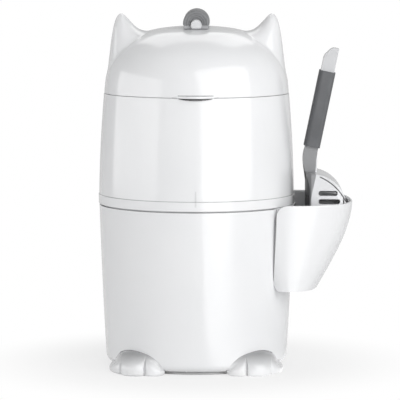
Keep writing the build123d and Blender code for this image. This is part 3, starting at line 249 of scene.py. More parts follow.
def mouldedRubber(name, colour, shade, paleLitTone=None):
    # dull rubber with a trace of bloom; where it stands on the floor its lowest band is painted pale, painted
    # light that leaves only a thin dark band above it, showing as the shadow gap under the bucket
    f = Finish(bpy.data.materials.new(name))
    bloom = f.grain(rubber["bloom"], 4.0, 0.6).ramp(0.45, 0.75)
    fine = f.grain(rubber["fine"], 1.0)
    tone = f.blend(bloom * rubber["bloomShare"], colour, shade)
    # painted light: below this height the rubber is pale like the lit floor, and the dark band above stands
    # for the gap's shade
    if paleLitTone:
        tone = f.blend(1.0 - f.height().ramp(*rubber["paleLitTop"]), tone, paleLitTone)
    return f.surface(Base_Color=tone, Roughness=rubber["roughness"] + bloom * rubber["bloomDull"],
                     Normal=f.bump(fine, 0.3, rubber["fineDepth"]), Specular_IOR_Level=0.35)


# each step is (from height, to height, move in X)
# the web, flank and seam colours are painted shade on the neck and in the heel's groove
scoopLook = {
    "colour": rgba(0.74, 0.745, 0.76), "shade": rgba(0.68, 0.686, 0.70), "grain": 1300.0, "drift": 22.0,
    "driftShare": 0.6, "roughness": 0.2, "webDull": 0.25, "grainDull": 0.08, "foot": (0.186, 0.19),
    "web": rgba(0.23, 0.233, 0.24), "webX": 0.1372, "webSoft": 0.0002, "webTop": (0.266, 0.272),
    "webShare": 0.93, "webSteps": ((0.198, 0.245, 0.0073), (0.245, 0.267, 0.003)), "tip": (0.325, 0.33),
    "tipShare": 0.3, "flank": rgba(0.06, 0.061, 0.064), "flankX": 0.1362, "flankSoft": 0.0003,
    "flankTop": (0.241, 0.244), "flankStep": (0.2155, 0.244, 0.0062), "seam": rgba(0.05, 0.05, 0.053),
    "seamMiddle": (0.1253, 0.1766), "seamRadius": 0.0595, "seamHalf": 0.0007, "seamDepth": 0.0006,
    "seamFoot": (0.2, 0.203), "seamStart": (0.147, 0.149),
}


def scoopPlastic(name, look):
    # glossy pale plastic; the neck's web is a rougher satin whose darker colour is painted shade, its flank
    # painted darker still as painted shade, the handle's tip is a shade down, and a parting line, an arc in
    # the XZ plane, runs round the bowl's heel as a shallow groove painted dark with painted shade
    f = Finish(bpy.data.materials.new(name))
    grain = f.grain(look["grain"], 2.0)
    drift = f.grain(look["drift"], 3.0)
    x, _, z = f.axes()
    tone = f.blend(drift.ramp(0.35, 0.7) * look["driftShare"], look["colour"], look["shade"])
    neck = z.ramp(*look["foot"])
    right = look["webX"]
    for low, high, move in look["webSteps"]:
        right = z.ramp(low, high) * move + right
    # painted shade: the neck's web darkened
    web = (x - right).ramp(-look["webSoft"], look["webSoft"])
    web = (1.0 - web) * (1.0 - z.ramp(*look["webTop"])) * neck
    low, high, move = look["flankStep"]
    left = look["flankX"] - z.ramp(low, high) * move
    # painted shade: the neck's flank darkened further, standing in for its shadowed face
    flank = (x - left).ramp(-look["flankSoft"], look["flankSoft"])
    flank = (1.0 - flank) * (1.0 - z.ramp(*look["flankTop"])) * neck
    dull = (web * look["webShare"]).most(z.ramp(*look["tip"]) * look["tipShare"])
    tone = f.blend(dull, tone, look["web"])
    tone = f.blend(flank, tone, look["flank"])
    middleX, middleZ = look["seamMiddle"]
    # painted shade: the parting groove round the heel painted dark; its bump is real relief
    off = ((x - middleX) ** 2.0 + (z - middleZ) ** 2.0) ** 0.5 - look["seamRadius"]
    seam = 1.0 - off.abs().ramp(look["seamHalf"] * 0.6, look["seamHalf"] * 1.4)
    seam = seam * z.ramp(*look["seamFoot"]) * x.ramp(*look["seamStart"])
    tone = f.blend(seam, tone, look["seam"])
    gloss = look["roughness"] + web * look["webDull"] + (grain - 0.5) * look["grainDull"]
    relief = f.bump(grain * 0.02 - seam, 0.5, look["seamDepth"])
    return f.surface(Base_Color=tone, Roughness=gloss, Normal=relief, Coat_Weight=0.2, Coat_Roughness=0.05)


finishes = {
    "paw_gloss": glossyShell("pawShell", pawLook),
    "tab_gloss": glossyShell("tabShell", tabLook),
    "white_gloss": glossyShell("whiteShell", whitePlastic),
    "band_gloss": glossyShell("bandShell", bandLook),
    "holder_gloss": glossyShell("holderShell", holderLook),
    "inner_white": satinPlastic("innerWhite", rgba(0.74, 0.745, 0.75), rgba(0.70, 0.705, 0.715), 0.38),
    "pale_grey": satinPlastic("paleGrey", rgba(0.66, 0.665, 0.68), rgba(0.62, 0.626, 0.64), 0.28),
    "scoop": scoopPlastic("scoopPlastic", scoopLook),
    "soft_grey": softGrip("softGrip", rgba(0.108, 0.111, 0.117), rgba(0.13, 0.133, 0.14)),
    "knob_soft": softGrip("knobSoft", rgba(0.215, 0.218, 0.225), rgba(0.25, 0.253, 0.26)),
    "dark_grey": satinPlastic("linerPlastic", rgba(0.62, 0.625, 0.635), rgba(0.66, 0.665, 0.675), 0.4),
    "grey_rubber": mouldedRubber("sealRubber", rgba(0.13, 0.134, 0.142), rgba(0.17, 0.174, 0.18)),
    "knob_grey": satinPlastic("knobPlastic", rgba(0.36, 0.365, 0.375), rgba(0.32, 0.325, 0.335), 0.36),
    "foot_rubber": mouldedRubber("footRubber", rgba(0.12, 0.122, 0.126), rgba(0.15, 0.152, 0.156),
                                 rgba(0.7, 0.7, 0.7)),
    "film": satinPlastic("filmPlastic", rgba(0.50, 0.57, 0.64), rgba(0.44, 0.52, 0.60), 0.3),
    "steel": plainSteel("plainSteel"),
}
ownFinish = {"scoop": "scoop", "collar_band": "band_gloss", "head_housing": "band_gloss"}
for part in frame["record"]["subparts"]:
    mesh = frame["nodes"][part["node"]].data
    mesh.materials.clear()
    mesh.materials.append(finishes[ownFinish.get(part["node"], part["material_slot"])])
print("finishes made:", len(finishes))


def gridFaces(rows, columns, start=0, wrap=False):
    # one quad for each cell of a rows x columns grid, the columns closing into a ring where wrap is set
    across = columns if wrap else columns - 1
    i, j = np.meshgrid(np.arange(rows - 1), np.arange(across), indexing="ij")
    a = i * columns + j
    b = i * columns + (j + 1) % columns
    return np.stack([a, b, b + columns, a + columns], -1).reshape(-1, 4) + start


def pieceFrom(name, grids, finish, body, nodes=(), sharp=32.0):
    # grids: list of (points rows x columns x 3 in mm, wrap), welded where they meet and faced outwards
    points, faces, start = [], [], 0
    for grid, wrap in grids:
        rows, columns = grid.shape[:2]
        points.append(grid.reshape(-1, 3))
        faces.append(gridFaces(rows, columns, start, wrap))
        start += rows * columns
    mesh = bpy.data.meshes.new(name)
    points = np.concatenate(points) / 1000.0
    faces = np.concatenate(faces)
    mesh.vertices.add(len(points))
    mesh.vertices.foreach_set("co", points.astype(np.float32).ravel())
    mesh.loops.add(faces.size)
    mesh.loops.foreach_set("vertex_index", faces.astype(np.int32).ravel())
    mesh.polygons.add(len(faces))
    mesh.polygons.foreach_set("loop_start", np.arange(0, faces.size, 4, dtype=np.int32))
    mesh.update(calc_edges=True)
    work = bmesh.new()
    work.from_mesh(mesh)
    bmesh.ops.remove_doubles(work, verts=work.verts, dist=2e-6)
    bmesh.ops.dissolve_degenerate(work, edges=work.edges, dist=1e-6)
    bmesh.ops.recalc_face_normals(work, faces=work.faces)
    work.to_mesh(mesh)
    work.free()
    mesh.polygons.foreach_set("use_smooth", np.ones(len(mesh.polygons), bool))
    mesh.set_sharp_from_angle(angle=math.radians(sharp))
    mesh.validate()
    piece = bpy.data.objects.new(name, mesh)
    scene.collection.objects.link(piece)
    mesh.materials.append(finishes[finish])
    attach(piece, body)
    if nodes:
        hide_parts(*nodes)


def closed(grid, wrap=True):
    # the grid with its first and last row, or without wrap its end columns, each drawn to its own middle
    lines = (grid[0], grid[-1]) if wrap else (grid[:, 0], grid[:, -1])
    caps = [np.stack([line, np.broadcast_to(line.mean(0), line.shape)]) for line in lines]
    return [(grid, wrap)] + [(cap, wrap) for cap in caps]


def atBearing(radius, bearing, height):
    # points at a radius and a height, at a bearing from the front towards +X
    return np.stack(np.broadcast_arrays(radius * np.sin(bearing), -radius * np.cos(bearing), height), -1)


def throughPoints(rows, count):
    # cubic curve through points that state their own normal's rise in degrees: (x, z, rise)
    rows = np.array(rows, float)
    place = rows[:, :2]
    rise = np.radians(rows[:, 2])
    heading = np.stack([-np.sin(rise), np.cos(rise)], 1)
    t = np.linspace(0, 1, count)[:, None]
    parts = []
    for k in range(len(rows) - 1):
        step = np.linalg.norm(place[k + 1] - place[k])
        parts.append((2 * t**3 - 3 * t**2 + 1) * place[k] + (t**3 - 2 * t**2 + t) * heading[k] * step
                     + (3 * t**2 - 2 * t**3) * place[k + 1] + (t**3 - t**2) * heading[k + 1] * step)
    return np.concatenate([parts[0]] + [part[1:] for part in parts[1:]])


def evenly(line, count=None):
    # the same line with points at equal steps of its length, as many as it has unless count says otherwise
    run = np.concatenate([[0], np.cumsum(np.linalg.norm(np.diff(line, axis=0), axis=1))])
    where = np.linspace(0, run[-1], count or len(line))
    return np.stack([np.interp(where, run, line[:, k]) for k in range(line.shape[1])], 1)


def smoothLine(line, passes=2):
    # rounds a line's corners by cutting them, ends kept
    line = np.array(line, float)
    for _ in range(passes):
        cut = np.empty((2 * len(line) - 2, line.shape[1]))
        cut[0::2] = 0.75 * line[:-1] + 0.25 * line[1:]
        cut[1::2] = 0.25 * line[:-1] + 0.75 * line[1:]
        line = np.concatenate([line[:1], cut, line[-1:]])
    return line


def turned(line, count):
    # a line of (radius, height) carried round the pail's axis
    angle = np.linspace(0, 2 * np.pi, count, endpoint=False)
    radius = line[:, 0][:, None]
    height = np.broadcast_to(line[:, 1][:, None], (len(line), count))
    return np.stack([radius * np.cos(angle), radius * np.sin(angle), height], -1)


def insideOf(line, depth):
    # the same line moved inwards by depth along its own normal
    slope = np.gradient(line, axis=0)
    slope /= np.linalg.norm(slope, axis=1)[:, None]
    return line + depth * np.stack([-slope[:, 1], slope[:, 0]], 1)


def prismAlong(axis, section, low, high, bevel):
    # a closed section carried along X (axis 0) or Y (axis 1), its end edges bevelled towards its middle
    middle = section.mean(0)
    spread = np.linalg.norm(section - middle, axis=1).max()
    small = middle + (section - middle) * (1 - bevel / spread)
    dot = middle + (section - middle) * 1e-4
    rows = [(low, dot), (low, small), (low + bevel, section), (high - bevel, section), (high, small),
            (high, dot)]
    return [(np.stack([np.insert(ring, axis, place, axis=1) for place, ring in rows]), True)]


def arcLine(centre, radius, turn, count):
    # arc about a centre in its section's plane, between two angles in degrees
    angle = np.radians(np.linspace(*turn, count))
    return np.stack([centre[0] + radius * np.cos(angle), centre[1] + radius * np.sin(angle)], 1)


def eased(share):
    # 0 to 1 with level ends: the square of the share times three less twice the share
    return share**2 * (3 - 2 * share)


# lid: dome points are (radius, height, rise of the normal), ear points (x, z) in the plane of both ears
lid = {
    "dome": ((111.5, 330.3, 3.5), (108.3, 354.5, 15), (98, 376.5, 36), (80, 393.2, 55), (55, 405.6, 76),
             (28, 409.8, 85), (8.1, 410.9, 88.5)),
    "wall": 2.8, "rounds": 440, "rows": 150,
    "earInner": ((57.5, 404.6), (63.0, 404.9), (69.0, 406.6), (73.8, 409.9), (79.0, 415.2), (84.2, 421.0),
                 (88.2, 424.9), (90.8, 426.0)),
    "earOuter": ((90.8, 426.0), (94.4, 424.4), (97.4, 419.8), (99.6, 412.5), (101.3, 405.0), (103.5, 390.5),
                 (105.2, 376.0), (106.9, 361.5), (108.7, 352.0)),
    "earRoot": 88.0, "earHalf": 30.0, "earPoint": 1.35, "earFold": 0.035, "earRidge": 0.12, "earFrom": 30.0,
    "footprint": 2.6,
}


def domeWithEars():
    # dome turned round the axis; over each ear's oval footprint the point moves from the dome to the ear's
    # outline in the XZ plane, by a share that falls from 1 in that plane to 0 at the footprint's edge
    line = evenly(evenly(throughPoints(lid["dome"], 60)), lid["rows"])
    surface = turned(line, lid["rounds"])
    run = np.linspace(0, 1, len(line))
    root = np.interp(-lid["earRoot"], -line[:, 0], run)
    inner = np.array(lid["earInner"][::-1])
    outer = np.array(lid["earOuter"])
    innerEnd = np.interp(-inner[-1, 0], -line[:, 0], run)
    outerEnd = np.interp(outer[-1, 1], line[:, 1], run)
    across = np.where(run > root, (run - root) / (innerEnd - root), (run - root) / (root - outerEnd))
    innerLine = evenly(smoothLine(inner), 200)
    outerLine = evenly(smoothLine(outer), 200)
    steps = np.linspace(0, 1, 200)
    share = np.clip(np.abs(across), 0, 1)
    ear = np.stack([np.where(across > 0, np.interp(share, steps, innerLine[:, k]),
                             np.interp(share, steps, outerLine[:, k])) for k in (0, 1)], 1)
    within = np.abs(across) < 1
    move = (ear - line) * within[:, None]
    half = lid["earHalf"] * np.clip(1 - share ** lid["footprint"], 1e-4, 1) ** (1 / lid["footprint"])
    ridge = lid["earRidge"]
    off = np.abs(surface[..., 1]) / half[:, None]
    off = (np.sqrt(off**2 + ridge**2) - ridge) / (np.sqrt(1 + ridge**2) - ridge)
    rest = 1 - off ** lid["earPoint"]
    level = 0.5 * (rest + np.sqrt(rest**2 + lid["earFold"] ** 2))
    level = np.where(within[:, None], np.minimum(level, 1), 0)
    side = np.sign(surface[..., 0])
    near = np.abs(surface[..., 0]) > lid["earFrom"]
    surface[..., 0] += side * near * level * move[:, 0][:, None]
    surface[..., 2] += near * level * move[:, 1][:, None]
    return surface, line


def lidShell():
    # the dome, its plain inside at the wall's depth, and the rings that join them at the rim and the hole
    outside, line = domeWithEars()
    within = insideOf(line, lid["wall"])[::5]
    within[0] = (line[0, 0] - lid["wall"], line[0, 1])
    within[-1] = (line[-1, 0], within[-1, 1])
    inside = turned(within, lid["rounds"])
    rim = np.stack([outside[0], inside[0]])
    hole = np.stack([outside[-1], inside[-1]])
    return [(outside, True), (inside, True), (rim, True), (hole, True)]


tab = {
    "centre": 79.0, "reach": 38.0, "foot": 33.4, "top": 332.4, "lip": 2.8, "low": 326.6, "half": 14.0,
    "inner": 109.5, "clear": 112.6, "seam": 330.3, "floor": 330.4, "edge": 0.7, "lowEdge": 0.4, "hollow": 1.6,
    "lineHalf": 10.8, "line": ((111.5, -0.2), (111.5, 0.55), (110.6, 0.55), (110.6, -0.2)),
}


def fingerTab():
    # crescent between the lid's wall and a circle set forward of the axis; below its lip the circle shrinks
    # like a cone, and each section stops where the cone reaches the housing
    angle = np.radians(np.linspace(-tab["half"], tab["half"], 61))
    lipLow = tab["top"] - tab["lip"]
    edge, lowEdge = tab["edge"], tab["lowEdge"]

    def reach(radius):  # distance from the axis to the circle along each bearing
        middle = tab["centre"]
        return middle * np.cos(angle) + np.sqrt(np.maximum(radius**2 - (middle * np.sin(angle)) ** 2, 0))

    def section(radius, height):
        return np.broadcast_to(radius, angle.shape), np.full_like(angle, height)

    sections = []
    for bend in np.linspace(0, np.pi / 2, 6):
        sections.append(section(reach(tab["reach"]) - edge + edge * np.sin(bend),
                                tab["top"] - edge + edge * np.cos(bend)))
    for bend in np.linspace(0, np.pi / 2, 5)[1:]:
        sections.append(section(reach(tab["reach"]) - lowEdge + lowEdge * np.cos(bend),
                                lipLow + lowEdge - lowEdge * np.sin(bend)))
    for down in np.linspace(0, 1, 9)[1:]:
        radius = tab["reach"] - (tab["reach"] - tab["foot"]) * down ** tab["hollow"]
        sections.append(section(reach(radius), lipLow - (lipLow - tab["low"]) * down))
    rows = [section(tab["inner"], tab["top"])]
    for radius, height in sections:
        before = rows[-1][1]
        housed = (radius < tab["clear"]) & (height < tab["seam"])
        height = np.where(housed, np.where(before > tab["seam"], tab["floor"], before), height)
        rows.append((np.where(housed, tab["clear"], radius), height))
    rows.append((section(tab["clear"], 0)[0], np.minimum(rows[-1][1] + 0.01, tab["floor"])))
    rows += [section(tab["clear"], tab["floor"]), section(tab["inner"], tab["floor"]), rows[0]]
    return closed(np.stack([atBearing(radius, angle, height) for radius, height in rows]), wrap=False)


def tabCreaseShade():
    # dark strip in the rubber's finish where the tab's top meets the dome, painted shade for the crease there
    angle = np.radians(np.linspace(-tab["lineHalf"], tab["lineHalf"], 41))
    return closed(np.stack([atBearing(radius, angle, tab["top"] + rise) for radius, rise in tab["line"]], 1))


hinge = {"line": (118.6, 327.0), "knuckle": 5.0, "half": 14.0, "bevel": 0.5, "turn": (-200, 62),
         "web": ((119.8, 333.0), (115.2, 336.2), (110.6, 338.0)),
         "back": ((110.2, 338.0), (110.2, 331.0), (113.2, 330.6))}


def lidKnuckle():
    # round knuckle about the hinge line with its web running up into the lid's back wall
    ring = arcLine(hinge["line"], hinge["knuckle"], hinge["turn"], 40)
    web = smoothLine([ring[-1], *hinge["web"]])[1:]
    section = np.concatenate([ring, web, hinge["back"]])
    return prismAlong(0, section, -hinge["half"], hinge["half"], hinge["bevel"])


pieceFrom("lidDome", lidShell(), "white_gloss", "lid", ["lid_shell"])
pieceFrom("lidTab", fingerTab(), "tab_gloss", "lid", ["lid_shell"])
pieceFrom("lidTabCreaseShade", tabCreaseShade(), "foot_rubber", "lid", ["lid_shell"])
pieceFrom("lidHinge", lidKnuckle(), "white_gloss", "lid", ["lid_shell"])
print("lid made")

# only the bucket's side line is needed here, for the pieces that lie on it
bucket = {"base": 110.0, "waist": 115.6, "rim": 117.8, "low": 4.5, "waistShare": 0.658, "high": 195.2,
          "corner": 9.0}


def bucketRadius(height):
    # parabola through base, waist and rim, less the rounding at the foot
    base, waist, rim = bucket["base"], bucket["waist"], bucket["rim"]
    low = bucket["corner"] / (bucket["high"] - bucket["low"])
    share = (np.maximum(height, bucket["low"]) - bucket["low"]) / (bucket["high"] - bucket["low"])
    mid = bucket["waistShare"]
    side = (base * (share - mid) * (share - 1) / ((low - mid) * (low - 1))
            + waist * (share - low) * (share - 1) / ((mid - low) * (mid - 1))
            + rim * (share - low) * (share - mid) / ((1 - low) * (1 - mid)))
    under = np.clip(bucket["low"] + bucket["corner"] - height, 0, bucket["corner"])
    return side - bucket["corner"] + np.sqrt(bucket["corner"] ** 2 - under**2)


# paws: bearings in degrees from the front; the toes meet the floor between the points in ends
paw = {
    "bearing": 42.3, "spread": 22.7, "arch": 27.6, "archFull": 0.9, "endHeights": (11.5, 8.0), "sunk": 1.0,
    "under": 0.25, "tuck": 8.0, "ends": ((101.5, -50.0), (88.9, -93.0), (60.2, -103.0), (37.0, -96.0)),
    "shares": (0.0, 0.27, 0.66, 1.0), "bulges": (7.0, 9.5, 7.5), "roundness": 0.5, "plump": 0.72,
    "lobeShare": 0.25, "creaseFrom": 38.0, "creaseTo": 84.0, "creaseDepth": 2.2, "creaseWidth": 0.006,
    "foot": 3.0, "middle": (70.0, -84.0), "columns": 321, "rows": 40,
    "hood": (18.2, 57.0), "hoodFoot": 4.6, "hoodWall": 2.2, "hoodTuck": (0.35, 0.15), "cutMiddle": 69.0,
    "cutRadius": 33.4, "overlap": 0.9, "proud": 0.06,
}


def pawToes(side):
    # quarter ellipses from an elliptic arch on the bucket down to a ground line of three scalloped toes, each
    # scallop a root of a sine, with a bell-shaped nick between toes
    turn = np.linspace(0, np.pi, paw["columns"])
    bearing = np.radians(paw["bearing"] + paw["spread"] * np.cos(turn))
    least = np.interp(turn, (0, np.pi), paw["endHeights"])
    top = np.maximum(paw["arch"] * np.sin(turn) ** paw["archFull"], least) - paw["under"]
    radius = bucketRadius(top) - paw["sunk"]
    arch = atBearing(radius, bearing, top)[:, :2]
    share = np.linspace(0, 1, paw["columns"])
    chord = np.stack([np.interp(share, paw["shares"], [end[k] for end in paw["ends"]]) for k in (0, 1)], 1)
    lobe = np.zeros((paw["columns"], 2))
    for k, bulge in enumerate(paw["bulges"]):
        first, last = np.array(paw["ends"][k]), np.array(paw["ends"][k + 1])
        along = (last - first) / np.linalg.norm(last - first)
        outward = np.array([-along[1], along[0]])
        low, high = paw["shares"][k], paw["shares"][k + 1]
        place = np.clip((share - low) / (high - low), 0, 1)
        lobe += (bulge * np.sin(np.pi * place) ** paw["roundness"])[:, None] * outward
    toMiddle = paw["middle"] - chord
    toMiddle /= np.linalg.norm(toMiddle, axis=1)[:, None]
    for crease in paw["shares"][1:-1]:
        nick = paw["creaseDepth"] * np.exp(-(((share - crease) / paw["creaseWidth"]) ** 2))
        lobe += nick[:, None] * toMiddle
    rows = [np.concatenate([arch * (1 - paw["tuck"] / radius[:, None]), top[:, None]], 1)]
    for tilt in np.linspace(0, np.pi / 2, paw["rows"]):
        grow = np.clip((np.degrees(tilt) - paw["creaseFrom"]) / (paw["creaseTo"] - paw["creaseFrom"]), 0, 1)
        grow = eased(grow)
        out = np.sin(tilt) ** paw["plump"]
        flat = arch + (chord - arch) * out + lobe * (paw["lobeShare"] * out + (1 - paw["lobeShare"]) * grow)
        height = paw["foot"] + (top - paw["foot"]) * np.cos(tilt) ** paw["plump"]
        rows.append(np.concatenate([flat, height[:, None]], 1))
    last = rows[-1]
    inward = paw["middle"] - last[:, :2]
    inward /= np.linalg.norm(inward, axis=1)[:, None]
    for tilt in np.linspace(0, np.pi / 2, 7)[1:]:
        flat = last[:, :2] + inward * paw["foot"] * (1 - np.cos(tilt))
        rows.append(np.concatenate([flat, (last[:, 2] - paw["foot"] * np.sin(tilt))[:, None]], 1))
    rows.append(rows[0])
    grid = np.stack(rows)
    grid[..., 2] = np.maximum(grid[..., 2], 0.0)
    grid[..., 0] *= side
    return closed(grid, wrap=False)


def pawHood(side):
    # thin crescent on the bucket's side between the paw's arch and the wider round cut above it
    bearing = np.radians(np.linspace(*paw["hood"], 160))
    reach = (np.degrees(bearing) - paw["bearing"]) / paw["spread"]
    low = np.maximum(paw["arch"] * np.sqrt(np.clip(1 - reach**2, 0, 1)), paw["hoodFoot"])
    high = np.full_like(low, 20.0)
    cut = paw["cutRadius"] + paw["overlap"]
    for _ in range(12):  # the cut is a circle in x and z, so its height follows from x a step at a time
        x = bucketRadius(high) * np.sin(bearing)
        high = np.sqrt(np.clip(cut**2 - (x - paw["cutMiddle"]) ** 2, 0, None))
    high = np.maximum(high, low + 0.05)
    inset, drop = paw["hoodTuck"]
    levels = [low + (high - low) * share for share in np.linspace(1, 0, 12)]
    loops = [(bucketRadius(z) + paw["proud"], z) for z in levels]
    loops += [(bucketRadius(low) - inset, low - drop), (bucketRadius(low) - paw["hoodWall"], low - drop),
              (bucketRadius(high) - paw["hoodWall"], high)]
    grid = np.stack([atBearing(radius, bearing, z) for radius, z in loops], 1)
    grid[..., 0] *= side
    return closed(grid)


strip = {"radius": 94.0, "proud": 0.1, "depth": 1.5, "reach": 25.5, "low": 0.05, "high": 4.4}


def footShadowStrip():
    # dark rubber strip on the foot's front arc carried on to the paws, a dark piece standing for the shadow
    # gap under the bucket's edge there: painted shade
    inner, outer = strip["radius"] - strip["depth"], strip["radius"] + strip["proud"]
    section = [(outer, strip["low"]), (outer, strip["high"]), (inner, strip["high"]), (inner, strip["low"])]
    bearing = np.radians(np.linspace(-strip["reach"], strip["reach"], 120))
    return closed(np.stack([atBearing(radius, bearing, height) for radius, height in section], 1))


pieceFrom("footShadowStrip", footShadowStrip(), "foot_rubber", "base", sharp=40.0)
for name, node, side in (("Left", "paw_left", -1), ("Right", "paw_right", 1)):
    pieceFrom("pawToes" + name, pawToes(side), "paw_gloss", "base", [node], sharp=50.0)
    pieceFrom("pawHood" + name, pawHood(side), "white_gloss", "base", [node], sharp=50.0)
print("paws made")

# turning knob: endSteps are (radius, depth below the end's plane) from the grip's edge to its middle
knob = {
    "gripZ": 414.9, "gripRadius": 15.8, "gripHalf": 44.0, "gripLow": 412.9, "gripEdge": 3.6,
    "coreZ": 413.1, "coreRadius": 6.6, "coreHalf": 47.5, "coreLow": 408.6, "coreBevel": 1.2,
    "coreTurn": (-40, 220), "footHalf": 5.0, "baseHalf": 15.2, "baseLength": 43.2, "baseDrop": 0.1,
    "gap": 0.8, "crown": 411.0, "crownRadius": 319.0,
    "endSteps": ((15.8, 3.4), (15.5, 1.6), (14.6, 0.5), (13.6, 0.0), (12.7, 0.0), (12.5, 0.7), (11.3, 0.8),
                 (11.1, 0.1), (9.9, 0.1), (9.7, 0.9), (8.6, 1.0), (8.4, 0.3), (7.4, 0.3), (7.2, 2.0),
                 (2.0, 2.2)),
}


def crownHeight(x, y):
    # the dome's nearly flat crown as a sphere's cap
    return knob["crown"] - knob["crownRadius"] + np.sqrt(knob["crownRadius"] ** 2 - x**2 - y**2)


def gripForm():
    # turned about its own length, ribbed rings in both ends, its underside pressed flat
    steps = np.array(knob["endSteps"])
    half = knob["gripHalf"]
    straight = np.linspace(knob["gripEdge"] - half, half - knob["gripEdge"], 41)
    line = np.concatenate([np.stack([steps[::-1, 0], steps[::-1, 1] - half], 1),
                           np.stack([np.full(41, knob["gripRadius"]), straight], 1),
                           np.stack([steps[:, 0], half - steps[:, 1]], 1)])
    angle = np.linspace(0, 2 * np.pi, 160, endpoint=False)
    x = line[:, 0][:, None] * np.sin(angle)
    z = knob["gripZ"] + line[:, 0][:, None] * np.cos(angle)
    y = np.broadcast_to(line[:, 1][:, None], x.shape)
    return closed(np.stack([x, y, np.maximum(z, knob["gripLow"])], -1))


def coreForm():
    # round boss above, sides drawing in to a narrower foot
    ring = arcLine((0.0, knob["coreZ"]), knob["coreRadius"], knob["coreTurn"], 60)
    foot = np.array([(-knob["footHalf"], knob["coreLow"]), (knob["footHalf"], knob["coreLow"])])
    return prismAlong(1, np.concatenate([ring, foot]), -knob["coreHalf"], knob["coreHalf"], knob["coreBevel"])


def baseForm():
    # shallow block under the grip, its underside following the dome, its sides drawing in as the grip's do
    x = np.linspace(-knob["baseHalf"], knob["baseHalf"], 41)
    y = np.linspace(-knob["baseLength"], knob["baseLength"], 81)
    gridX, gridY = np.meshgrid(x, y, indexing="ij")
    low = crownHeight(gridX, gridY) + knob["gap"]
    drawIn = np.sqrt(1 - ((knob["gripZ"] - low) / knob["gripRadius"]) ** 2)
    under = np.stack([gridX * drawIn, gridY, low], -1)
    over = np.stack([gridX, gridY, np.full_like(low, knob["gripLow"] - knob["baseDrop"])], -1)
    sides = [np.stack([under[k], over[k]]) for k in (0, -1)]
    ends = [np.stack([under[:, k], over[:, k]]) for k in (0, -1)]
    return [(grid, False) for grid in [under, over] + sides + ends]


pieceFrom("knobGrip", gripForm(), "knob_soft", "knob", ["knob_grip"], sharp=40.0)
pieceFrom("knobCore", coreForm(), "pale_grey", "knob", ["knob_core"], sharp=40.0)
pieceFrom("knobBase", baseForm(), "knob_grey", "knob", ["knob_core"], sharp=40.0)
print("knob made")

# scoop holder and its liner: one bulging pocket at two depths, and the strap over the bucket's rim
holder = {
    "middle": 112.0, "half": 76.0, "narrow": 3.0, "edge": (91.9, 95.3), "low": 96.5, "high": 199.0,
    "power": 2.35, "wall": 2.4, "shoulder": 14.5, "rearRise": 5.0, "edgeRound": 0.8,
    "heights": (90.0, 112.0, 140.0, 170.0, 199.0), "reaches": (143.0, 155.5, 171.0, 183.3, 189.0),
    "columns": 181, "rows": 60, "levelStep": 0.5,
    "linerGap": 0.35, "linerWall": 1.6, "linerHigh": 198.0, "linerLow": 99.3, "strapAngle": 35.5,
    "strap": ((113.0, 196.6), (119.8, 196.6), (119.8, 176.0), (118.4, 176.0), (118.4, 195.2), (114.3, 195.2),
              (114.3, 184.2), (112.9, 184.2)),
}


def pocketPlan(z, inset):
    # from the near edge round the outer end to the far edge, at each height: a curve between an ellipse and a
    # box, its reach a cubic in the height
    share = np.linspace(-1, 1, holder["columns"])
    middle, power = holder["middle"], holder["power"]
    reach = np.polyval(np.polyfit(holder["heights"], holder["reaches"], 3), z) - inset - middle
    half = holder["half"] - holder["narrow"] * (holder["high"] - z) / (holder["high"] - holder["low"]) - inset
    edge = np.interp(z, (holder["low"], holder["high"]), holder["edge"])
    start = np.arccos(np.clip((edge - middle) / reach, -1, 1))
    angle = start * share
    x = middle + reach * np.sign(np.cos(angle)) * np.abs(np.cos(angle)) ** (2 / power)
    y = half * np.sign(np.sin(angle)) * np.abs(np.sin(angle)) ** (2 / power)
    back = np.cos(angle) < 0
    quarter = np.pi / 2 / start
    x = np.where(back, middle - (middle - edge) * (np.abs(share) - quarter) / (1 - quarter), x)
    reachBack = np.clip((middle - x) / reach, 0, 1)
    y = np.where(back, np.sign(share) * half * (1 - reachBack**power) ** (1 / power), y)
    return x, y


def pocket(inset, wall, high, low):
    # outer skin, rounded lip, inner skin, closed below; the ends near the bucket have rounded shoulders and
    # the rim rises towards the back
    outerX, outerY = pocketPlan(np.array(high), inset)
    run = np.concatenate([[0], np.cumsum(np.hypot(np.diff(outerX), np.diff(outerY)))])
    fromEnd = np.minimum(run, run[-1] - run)
    r = holder["shoulder"]
    cut = r - np.sqrt(np.clip(r**2 - np.clip(r - fromEnd, 0, r) ** 2, 0, None))
    behind = np.clip(outerY / holder["half"], 0, 1)
    top = high - cut + holder["rearRise"] * eased(behind)
    bottom = low + cut
    levels = np.arange(holder["low"], holder["high"] + 0.01, holder["levelStep"])[:, None]
    z = bottom + (top - bottom) * np.linspace(0, 1, holder["rows"])[:, None]
    level = np.minimum(np.round((z - holder["low"]) / holder["levelStep"]).astype(int), len(levels) - 1)
    column = np.arange(holder["columns"])

    def skin(depth):
        planX, planY = pocketPlan(levels, inset + depth)
        return np.stack([planX[level, column], planY[level, column], z], -1)

    outside = skin(0.0)
    inside = skin(wall)[::-1]
    lip = []
    for tilt in np.linspace(0, np.pi, 9)[1:-1]:
        mix = (1 - np.cos(tilt)) / 2
        row = outside[-1] * (1 - mix) + inside[0] * mix
        row[:, 2] += holder["edgeRound"] * np.sin(tilt)
        lip.append(row)
    body = np.concatenate([outside, np.stack(lip), inside])
    lowest = ((outside[0], 0), (inside[-1], wall))
    floors = [np.stack([row, row * (1, 0, 1) + (0, 0, rise)]) for row, rise in lowest]
    edges = [np.stack([body[:, k], body[::-1, k]]) for k in (0, -1)]
    return [(grid, False) for grid in [body] + floors + edges]


